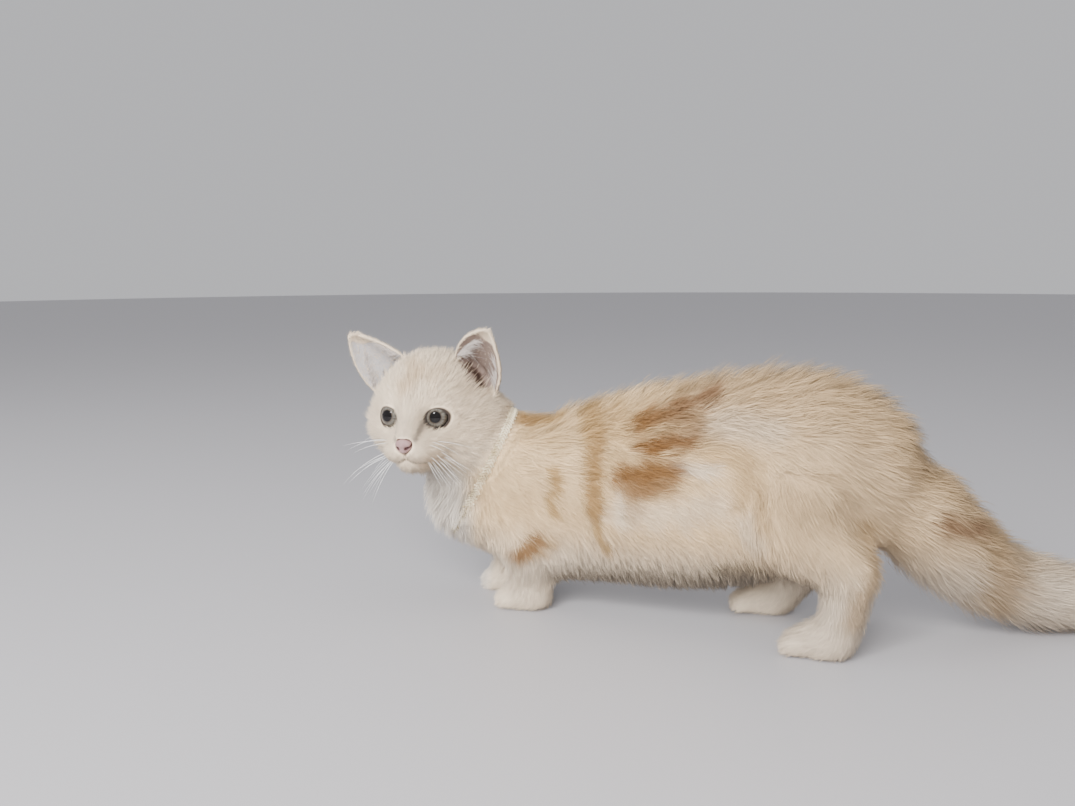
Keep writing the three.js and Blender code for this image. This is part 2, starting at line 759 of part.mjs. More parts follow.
// An oval band round the neck, its longer radius upright
function bandSolid({ centre, facing, radii, width, thick }, grow = 0) {
  const AROUND = 32;
  const CHAMFER = 0.6;
  const middle = (radii[0] + radii[1]) / 2;
  const [w, t] = [width / 2 + grow, thick / 2 + grow];
  const corners = [[-1, -CHAMFER], [-CHAMFER, -1], [CHAMFER, -1], [1, -CHAMFER]];
  const outline = [...corners, ...corners.map(([u, v]) => [-u, -v])];
  const profile = [...outline, outline[0]].map(([u, v]) => new THREE.Vector2(middle + u * t, v * w));
  const ring = new THREE.LatheGeometry(profile, AROUND);
  ring.scale(radii[0] / middle, 1, radii[1] / middle);
  const axis = new THREE.Vector3(...facing).normalize();
  const across = new THREE.Vector3(0, 0, 1).cross(axis).normalize();
  const matrix = new THREE.Matrix4().makeBasis(across, axis, across.clone().cross(axis));
  return solid(ring, matrix.setPosition(...centre));
}

// Finishes

const coat = (color) => () => new THREE.MeshStandardMaterial({ color, roughness: 0.9, metalness: 0 });
const FINISH = {
  cream: coat(0xe2cfb4),
  white: coat(0xe9e2da),
  tan: coat(0xcfae84),
  earSkin: coat(0xd9bfb2),
  nose: () => new THREE.MeshStandardMaterial({ color: 0xc9968f, roughness: 0.6, metalness: 0 }),
  eye: () => new THREE.MeshStandardMaterial({ color: 0x7d8272, roughness: 0.1, metalness: 0 }),
  band: () => new THREE.MeshStandardMaterial({ color: 0xd8d0c0, roughness: 0.7, metalness: 0 }),
};

const stance = new THREE.Group();
const headGroup = new THREE.Group();
headGroup.applyMatrix4(headMatrix);
stance.add(headGroup);

function addNode(name, shape, finish, group = stance) {
  const geometry = geometryOf(largest(welded(largest(shape))));
  geometry.computeVertexNormals();
  const mesh = new THREE.Mesh(geometry, finish());
  mesh.name = name;
  group.add(mesh);
}

// Head, nose, eyes and ears

const headSkin = headSurface();
let head = headSkin
  .intersect(ahead(inHead(HEAD_CUT), GAP / 2))
  .intersect(ahead(inHead(THROAT_CUT), GAP / 2));
for (const side of [1, -1]) {
  const reach = EYE.radius + LID;
  head = head.add(ball(eyeCentre(side).toArray(), [reach, reach, reach]));
}
for (const side of [1, -1]) {
  head = head.subtract(lidOpening(side)).subtract(eyeball(side, GAP));
  addNode(side > 0 ? "eye_left" : "eye_right", eyeball(side), FINISH.eye, headGroup);
}
const noseReach = [[31, 46], [-8.5, 8.5], [-26, -9]];
const noseLines = noseReach.map(([low, high]) => gridLines(low, CELL.nose, high));
let nose = solid(surface(noseField, ...noseLines));
for (const side of [1, -1]) {
  const [x, y, z] = NOSTRIL.centre;
  nose = nose.subtract(ball([x, side * y, z], NOSTRIL.radii, [10, 8]));
}
addNode("nose", nose, FINISH.nose, headGroup);
head = head
  .subtract(tube(mouthLine(), MOUTH.groove, 24))
  .subtract(tube(philtrum(), MOUTH.groove * 0.7, 4))
  .subtract(solid(surface(grown(noseField, GAP), ...noseLines)));
addNode("head", head, FINISH.white, headGroup);

const clearOfHead = headSurface(GAP);
for (const [name, ear] of Object.entries(EARS)) {
  addNode(`ear_${name}`, earShell(ear).subtract(clearOfHead), FINISH.earSkin, headGroup);
}

// Neck and collar

const neck = bodySurface(CELL.neck, [60, -60, 60], [180, 60, 180])
  .intersect(behind(HEAD_CUT, GAP / 2))
  .intersect(neckSpace(GAP / 2))
  .subtract(bandSolid(COLLAR, GAP));
addNode("neck", neck, FINISH.cream);
addNode("collar", bandSolid(COLLAR), FINISH.band);

// Legs

for (const side of ["left", "right"]) {
  const [x, y] = FORELEGS[side].paw;
  const low = [x - 42, y - 40, -6];
  const high = [x + 42, y + 40, 66];
  const limbBlock = forelegBlock(side);
  const leg = bodySurface(CELL.leg, low, high).intersect(limbBlock).intersect(above(PAW_TOP, GAP / 2));
  const paw = bodySurface(CELL.paw, low, [high[0], high[1], PAW_TOP + 8])
    .intersect(limbBlock)
    .intersect(above(0))
    .subtract(above(PAW_TOP, -GAP / 2));
  addNode(`foreleg_${side}`, leg, FINISH.cream);
  addNode(`forepaw_${side}`, paw, FINISH.white);
}
for (const side of ["left", "right"]) {
  const [x, y] = HINDLEGS[side].paw;
  const [near, far] = side === "left" ? [-10, 70] : [-70, 10];
  const thigh = bodySurface(CELL.tail, [-160, near, 30], [-45, far, 135]).intersect(thighBlock(side));
  const low = [x - 52, y - 36, -6];
  const high = [x + 34, y + 36, 78];
  const shank = bodySurface(CELL.leg, low, high)
    .intersect(shankBlock(side))
    .subtract(thighBlock(side, GAP))
    .intersect(above(PAW_TOP, GAP / 2));
  const paw = bodySurface(CELL.paw, low, [high[0], high[1], PAW_TOP + 8])
    .intersect(shankBlock(side))
    .intersect(above(0))
    .subtract(above(PAW_TOP, -GAP / 2));
  addNode(`thigh_${side}`, thigh, FINISH.cream);
  addNode(`hindleg_${side}`, shank, FINISH.cream);
  addNode(`hindpaw_${side}`, paw, FINISH.white);
}

// Tail, in lengths

const legs = ["left", "right"].map((side) => thighBlock(side, GAP).add(shankBlock(side, GAP)));
function tailSkin(cell, high) {
  return bodySurface(cell, [-350, -125, -6], high).subtract(legs[0]).subtract(legs[1]).intersect(above(0));
}
const tailRoot = tailSkin(CELL.tail, [-105, 45, 150]);
const tailTip = tailSkin(CELL.tailTip, [-250, -40, 60]);
tailCuts.forEach((cut, i) => {
  const next = tailCuts[i + 1];
  const length = (next ? tailRoot : tailTip).intersect(ahead(cut, GAP / 2));
  const finish = i ? FINISH.tan : FINISH.cream;
  addNode(`tail_${i + 1}`, next ? length.intersect(behind(next, GAP / 2)) : length, finish);
});

// Torso: all that is left

const torso = bodySurface(CELL.trunk, [-175, -70, 0], [175, 70, 185])
  .subtract(neckSpace(-GAP / 2))
  .subtract(ahead(tailCuts[0], -GAP / 2))
  .subtract(bandSolid(COLLAR, GAP))
  .subtract(forelegBlock("left", GAP))
  .subtract(forelegBlock("right", GAP))
  .subtract(legs[0])
  .subtract(legs[1]);
addNode("torso", torso, FINISH.cream);

// The origin is on the floor under the middle of the whole

stance.updateMatrixWorld(true);
const extent = new THREE.Box3().setFromObject(stance, true);
const middle = extent.getCenter(new THREE.Vector3());
stance.position.set(-middle.x, -middle.y, -extent.min.z);

const cat = new THREE.Group();
cat.add(stance);
export default cat;
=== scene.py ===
import math
import bmesh
import bpy
import numpy as np
from mathutils import Euler, Matrix, Vector
from mathutils.bvhtree import BVHTree
from mathutils.kdtree import KDTree


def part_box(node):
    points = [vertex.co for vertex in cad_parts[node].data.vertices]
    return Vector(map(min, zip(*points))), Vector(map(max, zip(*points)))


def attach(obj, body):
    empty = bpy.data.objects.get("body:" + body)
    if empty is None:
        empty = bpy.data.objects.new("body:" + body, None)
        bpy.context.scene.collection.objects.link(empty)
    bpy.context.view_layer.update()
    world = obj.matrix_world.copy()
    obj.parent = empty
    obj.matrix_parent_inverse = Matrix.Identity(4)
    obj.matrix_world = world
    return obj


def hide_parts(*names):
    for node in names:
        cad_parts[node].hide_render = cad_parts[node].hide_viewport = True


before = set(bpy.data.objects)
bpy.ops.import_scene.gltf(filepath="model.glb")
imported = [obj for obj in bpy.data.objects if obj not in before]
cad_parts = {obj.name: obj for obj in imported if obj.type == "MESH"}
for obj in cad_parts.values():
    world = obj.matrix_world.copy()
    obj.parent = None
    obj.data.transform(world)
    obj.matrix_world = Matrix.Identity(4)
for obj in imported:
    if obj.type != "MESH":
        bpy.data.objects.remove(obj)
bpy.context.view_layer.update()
mm = 0.001
sides = {"left": 1, "right": -1}


# Places

# The head's own frame: x out of the face, y to its left, z up. Turns are degrees, places are
# millimetres
headForm = {
    "turn": 94,
    "nod": 2.6,
    "tilt": 1,
    "eyesAhead": 15.03,
    "eyesUp": -1.6,
    "at": (144.1, 28, 132.2),
}


def middleOf(node):
    low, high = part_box(node)
    return (low + high) / 2


def findHead():
    angles = [math.radians(headForm[key]) for key in ("tilt", "nod", "turn")]
    turn = Euler(angles, "XYZ").to_matrix()
    eyes = (middleOf("eye_left") + middleOf("eye_right")) / 2
    head = turn.to_4x4()
    head.translation = eyes - turn @ Vector((headForm["eyesAhead"], 0, headForm["eyesUp"])) * mm
    return head


headPlace = findHead()
headTurn = np.array(headPlace.to_3x3())
headOrigin = np.array(headPlace.translation)

# Places on the body are millimetres in the stance's own frame: x forward, y to the left, z up
stanceOrigin = headOrigin - np.array(headForm["at"]) * mm


def toHead(points):
    return (points - headOrigin) @ headTurn / mm


def fromHead(points):
    return np.asarray(points, float) * mm @ headTurn.T + headOrigin


def toStance(points):
    return (points - stanceOrigin) / mm


def fromStance(points):
    return np.asarray(points, float) * mm + stanceOrigin


# Arithmetic on arrays of points

farAway = 99.0


def unit(vectors):
    return vectors / np.maximum(np.linalg.norm(vectors, axis=-1, keepdims=True), 1e-12)


def ramp(low, high, value):
    share = np.clip((value - low) / (high - low), 0, 1)
    return share * share * (3 - 2 * share)


def mixed(a, b, share):
    return a + (b - a) * share


def along(a, b):
    return np.einsum("ij,ij->i", a, b)[:, None]


def turned(lie, side, degrees):
    angle = np.radians(degrees)[:, None]
    return lie * np.cos(angle) + side * np.sin(angle)


def farFrom(points, place=(0, 0, 0)):
    return np.linalg.norm(points - np.array(place), axis=1)


# What belongs to places on the right of the head is mirrored to its left
def toLeft(values, spots):
    return values * np.where(spots[:, 1:2] < 0, (1, -1, 1), (1, 1, 1))


# A soft random value, mostly from -1 to 1, that wavers over the given distance in millimetres
def waver(points, distance, seed):
    rng = np.random.default_rng(seed)
    total = np.zeros(len(points))
    for turn in unit(rng.normal(size=(7, 3))):
        pitch = 2 * math.pi / (distance * rng.uniform(0.7, 1.5))
        total += np.sin(points @ turn * pitch + rng.uniform(0, 2 * math.pi))
    return total / 3.5


# The sum of some of these, each given as its size, distance and seed
def wavers(points, rows):
    return sum(size * waver(points, distance, seed) for size, distance, seed in rows)


# The distance of points from a course of straight lines
def courseDistance(points, course):
    best = np.full(len(points), farAway)
    for start, end in zip(course, course[1:]):
        start, end = np.array(start, float), np.array(end, float)
        step = end - start
        t = np.clip((points - start) @ step / (step @ step), 0, 1)[:, None]
        best = np.minimum(best, np.linalg.norm(points - start - t * step, axis=1))
    return best


# A value of each item in one of a mesh's lists, as rows
def rowsOf(items, name, columns, kind=float):
    values = np.empty(len(items) * columns, kind)
    items.foreach_get(name, values)
    return values.reshape(-1, columns)


# Values that live on the points of a mesh, and spread from each point to its neighbours
class Net:
    def __init__(self, mesh):
        count = len(mesh.vertices)
        edges = rowsOf(mesh.edges, "vertices", 2, np.int64)
        both = np.vstack((edges, edges[:, ::-1]))
        both = both[np.argsort(both[:, 0], kind="stable")]
        self.neighbours = both[:, 1]
        self.starts = np.searchsorted(both[:, 0], np.arange(count))
        self.degree = np.bincount(both[:, 0], minlength=count)[:, None]

    def spread(self, values, passes, share=1.0):
        flat = values.reshape(len(values), -1)
        for _ in range(passes):
            around = np.add.reduceat(flat[self.neighbours], self.starts, axis=0) / self.degree
            flat = mixed(flat, around, share)
        return flat.reshape(values.shape)

    # Smoothing that takes out small facets and leaves the size of the form
    def ease(self, values, passes, inwards=0.5, outwards=-0.53):
        for _ in range(passes):
            values = self.spread(self.spread(values, 1, inwards), 1, outwards)
        return values


def pointsOf(mesh):
    return rowsOf(mesh.vertices, "co", 3)


def normalsOf(mesh):
    return rowsOf(mesh.vertices, "normal", 3)


def setPoints(mesh, points):
    mesh.vertices.foreach_set("co", points.ravel())
    mesh.update()


def openForm(mesh):
    form = bmesh.new()
    form.from_mesh(mesh)
    return form


def closeForm(form, mesh):
    form.to_mesh(mesh)
    form.free()
    return mesh


def paint(mesh, name, values):
    layer = mesh.color_attributes.new(name, "FLOAT_COLOR", "POINT")
    layer.data.foreach_set("color", values.ravel())


def smooth(mesh):
    mesh.polygons.foreach_set("use_smooth", np.ones(len(mesh.polygons), bool))


def place(name, data):
    piece = bpy.data.objects.new(name, data)
    bpy.context.scene.collection.objects.link(piece)
    return piece


# The mesh of a piece with its modifiers applied
def settle(piece):
    graph = bpy.context.evaluated_depsgraph_get()
    mesh = bpy.data.meshes.new_from_object(piece.evaluated_get(graph))
    piece.modifiers.clear()
    old = piece.data
    piece.data = mesh
    bpy.data.meshes.remove(old)
    return mesh


def remesh(piece, voxel):
    modifier = piece.modifiers.new("remesh", "REMESH")
    modifier.mode = "VOXEL"
    modifier.voxel_size = voxel
    return settle(piece)


# Materials

class Wire:
    def __init__(self, finish, socket):
        self.finish = finish
        self.socket = socket

    def maths(self, operation, first, second):
        return self.finish.node("ShaderNodeMath", {"operation": operation}, {0: first, 1: second})

    def __add__(self, other):
        return self.maths("ADD", self, other)

    def __mul__(self, other):
        return self.maths("MULTIPLY", self, other)

    __radd__ = __add__
    __rmul__ = __mul__

    def between(self, low, high):
        values = {"Value": self, "From Min": low, "From Max": high}
        return self.finish.node("ShaderNodeMapRange", {"interpolation_type": "SMOOTHSTEP"}, values)


class Finish:
    def __init__(self, name, **fixed):
        self.material = bpy.data.materials.new(name)
        self.material.use_nodes = True
        self.tree = self.material.node_tree
        self.shader = self.tree.nodes["Principled BSDF"]
        for socket, value in fixed.items():
            self.shader.inputs[socket.replace("_", " ")].default_value = value

    def node(self, kind, settings=None, values=None, output=0):
        node = self.tree.nodes.new(kind)
        for name, value in (settings or {}).items():
            setattr(node, name, value)
        for socket, value in (values or {}).items():
            self.feed(node.inputs[socket], value)
        return Wire(self, node.outputs[output])

    def feed(self, socket, value):
        if isinstance(value, Wire):
            self.tree.links.new(value.socket, socket)
        elif socket.type == "RGBA" and len(value) == 3:
            socket.default_value = (*value, 1)
        else:
            socket.default_value = value

    def set(self, socket, value):
        self.feed(self.shader.inputs[socket], value)

    def mix(self, share, first, second, blend="MIX"):
        settings = {"data_type": "RGBA", "blend_type": blend}
        return self.node("ShaderNodeMix", settings, {0: share, 6: first, 7: second}, 2)

    def attribute(self, name, output=0):
        return self.node("ShaderNodeAttribute", {"attribute_name": name}, {}, output)

    # The red, green, blue and alpha of a colour attribute
    def channels(self, name):
        color = self.attribute(name)
        split = self.node("ShaderNodeSeparateColor", {}, {"Color": color}).socket.node
        alpha = color.socket.node.outputs["Alpha"]
        return [Wire(self, socket) for socket in (*split.outputs[:3], alpha)]

    def where(self):
        return self.node("ShaderNodeTexCoord", {}, {}, 3)

    def noise(self, scale, detail=2.0, roughness=0.5, place=None):
        values = {"Scale": scale, "Detail": detail, "Roughness": roughness}
        return self.node("ShaderNodeTexNoise", {}, {"Vector": place or self.where(), **values})

    def bump(self, height, distance, strength=1.0):
        values = {"Height": height, "Distance": distance, "Strength": strength}
        self.set("Normal", self.node("ShaderNodeBump", {}, values))


def plainFinish(name, color, roughness):
    finish = Finish(name, Roughness=roughness)
    finish.set("Base Color", color)
    return finish.material


# Skin

fleshNodes = ["head", "neck", "torso", "tail_1", "tail_2", "tail_3"]
pairedParts = ("ear", "foreleg", "forepaw", "thigh", "hindleg", "hindpaw")
fleshNodes += [f"{part}_{side}" for side in sides for part in pairedParts]
trunkNodes = ["torso", "neck", "thigh_left", "thigh_right", "tail_1"]
skinForm = {
    "voxel": 0.0011,
    "weld": 1e-6,
    "swell": (0.35, 1.0),
    "bandSwell": 1.2,
    "bandSunk": 2.6,
    "bandReach": (16, 9),
    "bandWithin": 60,
    "headMiddle": (0, 0, 10),
    "headReach": (62, 78),
    "triangles": 118000,
    "easing": 45,
    "insetSteps": 4,
    "tailNotch": {"at": (-176, -2, 104), "reach": 30, "above": 88},
}


def bodyShare(points):
    return ramp(*skinForm["headReach"], farFrom(toHead(points), skinForm["headMiddle"]))


# The middle of the collar's band and its axes, the last along the neck, from the points of its node
def collarFrame():
    points = np.unique(np.round(pointsOf(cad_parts["collar"].data), 6), axis=0)
    centre = points.mean(axis=0)
    return centre, np.linalg.svd(points - centre, full_matrices=False)[2]


# 1 at the band and 0 beyond the first distance from it, along the neck
def bandShare(points, far, near):
    centre, axes = collarFrame()
    about = farFrom(points, centre) < skinForm["bandWithin"] * mm
    return ramp(far, near, np.abs((points - centre) @ axes[2]) / mm) * about


# How far the flesh is swollen before it is remeshed, so that the nodes' gaps close
def swellAt(points):
    byBand = skinForm["bandSwell"] * bandShare(points, *skinForm["bandReach"])
    return mixed(*skinForm["swell"], bodyShare(points)) + byBand


def addHull(form, spots):
    hull = bmesh.ops.convex_hull(form, input=[form.verts.new(spot) for spot in spots])
    inner = set(hull["geom_interior"] + hull["geom_unused"])
    spare = [part for part in inner if isinstance(part, bmesh.types.BMVert)]
    bmesh.ops.delete(form, geom=spare, context="VERTS")


# The hull of the collar's node, drawn in a little, fills the groove that it lies in
def gatherFlesh():
    form = bmesh.new()
    for name in fleshNodes:
        form.from_mesh(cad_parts[name].data)
    bmesh.ops.remove_doubles(form, verts=form.verts, dist=skinForm["weld"])
    bmesh.ops.triangulate(form, faces=form.faces)
    centre, _ = collarFrame()
    outwards = pointsOf(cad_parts["collar"].data) - centre
    addHull(form, centre + outwards - unit(outwards) * skinForm["bandSunk"] * mm)
    return form


# The number of the flesh node that each point lies nearest to
def nearestNodes(points):
    corners, faces, owners = [], [], []
    for index, name in enumerate(fleshNodes):
        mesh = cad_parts[name].data
        start = len(corners)
        corners += [vertex.co.copy() for vertex in mesh.vertices]
        faces += [[start + corner for corner in polygon.vertices] for polygon in mesh.polygons]
        owners += [index] * len(mesh.polygons)
    tree = BVHTree.FromPolygons(corners, faces)
    found = [tree.find_nearest(Vector(point))[2] for point in points]
    return np.array(owners)[found]


# The notch over the root of the tail is bridged by the hull of the places about it
def bridgeNotch(form):
    notch = skinForm["tailNotch"]
    middle = Vector(fromStance(notch["at"]))
    spots = [vertex.co.copy() for vertex in form.verts if vertex.co.z > notch["above"] * mm]
    addHull(form, [spot for spot in spots if (spot - middle).length < notch["reach"] * mm])
    form.normal_update()


def remeshFlesh():
    form = gatherFlesh()
    bridgeNotch(form)
    swell = swellAt(np.array([vertex.co for vertex in form.verts])) * mm
    swollen = [vertex.co + vertex.normal * size for vertex, size in zip(form.verts, swell)]
    for vertex, target in zip(form.verts, swollen):
        vertex.co = target
    skin = place("skin", closeForm(form, bpy.data.meshes.new("skin")))
    keepOutside(remesh(skin, skinForm["voxel"]))
    return skin


# Small hollows are left where the nodes meet. Only the largest closed surface is kept
def keepOutside(mesh):
    form = openForm(mesh)
    left = set(form.verts)
    islands = []
    while left:
        island = {left.pop()}
        rim = list(island)
        while rim:
            near = {edge.other_vert(vertex) for vertex in rim for edge in vertex.link_edges}
            rim = list(near & left)
            left.difference_update(rim)
            island.update(rim)
        islands.append(island)
    islands.sort(key=len)
    loose = [vertex for island in islands[:-1] for vertex in island]
    bmesh.ops.delete(form, geom=loose, context="VERTS")
    closeForm(form, mesh)


# The head keeps its full detail
def thinBody(skin):
    mesh = skin.data
    share = bodyShare(pointsOf(mesh))
    group = skin.vertex_groups.new(name="body")
    group.add(np.flatnonzero(share > 0.5).tolist(), 1.0, "REPLACE")
    decimate = skin.modifiers.new("thin", "DECIMATE")
    decimate.ratio = skinForm["triangles"] / (2 * len(mesh.polygons))
    decimate.vertex_group = "body"
    settle(skin)
    skin.vertex_groups.clear()


skin = remeshFlesh()
print("skin remeshed", len(skin.data.polygons))
thinBody(skin)
print("skin thinned", len(skin.data.polygons))

faceForm = {
    "from": 6,
    "wide": 36,
    "high": (-40, 24),
    "within": 62,
    "middle": (26, 0, -6),
    "reach": (20, 46),
    "kept": 0.45,
    "easing": 2,
    "shapedWithin": 60,
}


# The sheet of the face is made twice as fine as the rest of the head
def refineFace(skin):
    form = openForm(skin.data)
    spots = toHead(pointsOf(skin.data))
    bottom, top = faceForm["high"]
    front = (spots[:, 0] > faceForm["from"]) & (np.abs(spots[:, 1]) < faceForm["wide"])
    front &= (spots[:, 2] > bottom) & (spots[:, 2] < top) & (farFrom(spots) < faceForm["within"])
    form.verts.ensure_lookup_table()
    edges = [edge for edge in form.edges if all(front[vertex.index] for vertex in edge.verts)]
    bmesh.ops.subdivide_edges(form, edges=edges, cuts=1, use_grid_fill=True, smooth=0)
    bmesh.ops.triangulate(form, faces=[face for face in form.faces if len(face.verts) > 4])
    closeForm(form, skin.data).update()


refineFace(skin)
print("face refined", len(skin.data.polygons))

net = Net(skin.data)
points = pointsOf(skin.data)
ofBody = bodyShare(points)[:, None]
ofFace = (1 - ramp(*faceForm["reach"], farFrom(toHead(points), faceForm["middle"])))[:, None]
eased = net.ease(points, skinForm["easing"])
points = mixed(eased, net.spread(points, faceForm["easing"]), faceForm["kept"] * ofFace)

seamForm = {
    "reach": 14,
    "passes": 90,
    "shared": (0.06, 0.3),
    "inTrunk": (0.85, 0.99),
    "softening": 6,
}


def trunkShare(owners):
    return np.isin(owners, [fleshNodes.index(name) for name in trunkNodes]).astype(float)


# The notches between the nodes of the trunk are smoothed out
def easeSeams(points, net):
    owners = nearestNodes(points)
    shares = net.spread(np.eye(len(fleshNodes))[owners], seamForm["reach"])
    seam = ramp(*seamForm["shared"], 1 - shares.max(axis=1))
    seam = seam * ramp(*seamForm["inTrunk"], net.spread(trunkShare(owners), seamForm["reach"]))
    weight = net.spread(seam * bodyShare(points), seamForm["softening"])[:, None]
    return mixed(points, net.spread(points, seamForm["passes"]), weight)


ironForm = {
    "rounds": 5,
    "against": 3,
    "sharp": (0.93, 0.7),
    "reach": 8,
    "gain": 5,
    "softening": 6,
    "passesOutside": 40,
    "passesInside": 20,
}


# Sharp ridges and notches of the trunk are ironed out
def iron(points, net, where, passes):
    for _ in range(ironForm["rounds"]):
        setPoints(skin.data, points)
        facing = normalsOf(skin.data)
        even = along(facing, unit(net.spread(facing, ironForm["against"])))
        sharp = net.spread(ramp(*ironForm["sharp"], even), ironForm["reach"])
        sharp = np.minimum(sharp * ironForm["gain"], 1) * where
        points = mixed(points, net.spread(points, passes), sharp)
    return points


onTrunk = net.spread(trunkShare(nearestNodes(points))[:, None], ironForm["softening"])
points = easeSeams(points, net)
points = iron(points, net, onTrunk, ironForm["passesOutside"])
setPoints(skin.data, points)
print("seams eased")

# Coat

# The columns of the coat's plan: millimetres, with the lift in degrees. Layers says how often the
# hairs cover the skin, and pull how far they are drawn together into tufts
depthAt, lengthAt, liftAt, widthAt, layersAt, pullAt = range(6)
coatOf = {
    "head": (2.3, 7.8, 26, 0.30, 3.0, 0.18),
    "ear": (0.4, 3.2, 12, 0.26, 2.6, 0.10),
    "neck": (4.0, 12.0, 25, 0.36, 3.4, 0.26),
    "torso": (4.6, 13.5, 25, 0.40, 3.4, 0.20),
    "thigh": (4.0, 12.0, 23, 0.38, 3.4, 0.20),
    "foreleg": (2.0, 7.5, 24, 0.34, 3.0, 0.20),
    "hindleg": (1.8, 7.5, 23, 0.34, 3.0, 0.20),
    "forepaw": (1.0, 5.0, 22, 0.30, 2.6, 0.20),
    "hindpaw": (1.0, 5.0, 22, 0.30, 2.6, 0.20),
    "tail": (5.6, 16.5, 26, 0.46, 3.4, 0.26),
}
# The way that the hairs lie, in the stance's own frame
lies = {
    "neck": (-0.75, -0.25, -0.55),
    "torso": (-1, 0, -0.2),
    "thigh": (-0.55, 0, -0.8),
    "foreleg": (-0.25, 0, -1),
    "hindleg": (-0.25, 0, -1),
    "forepaw": (0.9, 0, -0.5),
    "hindpaw": (0.9, 0, -0.5),
}


def kindOf(name):
    return name.split("_")[0]


# Along the tail, from the middle of a length to the next one, and to the floor from the last
def tailLie(name):
    course = [middleOf(node) for node in ("torso", "tail_1", "tail_2", "tail_3")]
    course.append(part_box("tail_3")[0])
    step = int(name[-1])
    return course[step + 1] - course[step]


def lieOf(name):
    kind = kindOf(name)
    if kind == "tail":
        return np.array(tailLie(name))
    return np.array(lies.get(kind, (0, 0, 1)), float)


faceCoat = {
    "nose": (39, 0, -16.5),
    "eye": (14.5, 15.4, -1.6),
    "noseReach": (6, 34),
    "eyeReach": (10, 18),
    "within": 75,
    "shares": [
        (depthAt, 0.16, 0.3),
        (lengthAt, 0.34, 0.4),
        (liftAt, 0.8, 0.8),
        (widthAt, 0.62, 0.85),
    ],
}
fringeForm = {
    "below": (64, 40),
    "facing": (0.15, -0.5),
    "way": (-0.25, 0, -1),
    "bellyLift": 44,
    "pull": 0.6,
    "short": 0.62,
    "deeper": 2.2,
    "chestFrom": (96, 116),
    "chestBelow": (104, 84),
    "chestWay": (0.25, 0, -1),
    "chestLift": 34,
    "chestPull": 0.6,
}
backForm = {
    "facing": (0.3, 0.9),
    "behind": (100, -60),
    "longer": 0.36,
    "lift": 9,
    "pull": 0.14,
}
wavyForm = {
    "turn": [(11, 26, 21), (7, 12, 22)],
    "lift": [(3, 16, 23), (2, 8, 24)],
}
earForm = {
    "foot": (-10, 33.5, 23.0),
    "tip": (0.5, 49, 54.5),
    "canal": [(-11, 28, 28.5), (-14, 33, 22.5), (-10, 36.5, 18.5)],
    "canalReach": 4.8,
    "bare": {"left": 0.97, "right": 0.80},
}
collarForm = {
    "strands": 3,
    "plaits": 34,
    "steps": 10,
    "sway": 2.0,
    "weave": 0.5,
    "radius": 0.72,
    "above": 1.3,
    "rounding": 12,
    "beads": 52,
    "bead": 0.75,
    "beadOut": 0.7,
    "clear": (9, 3.5),
    "short": 0.42,
    "flat": 0.7,
    "dull": (0.42, 0.34, 0.20),
    "light": (0.74, 0.65, 0.47),
}


# How far the plan's values are blended over the skin
blendPasses = {"sizes": 12, "fringe": 6, "way": 24, "back": 8, "depth": 6}


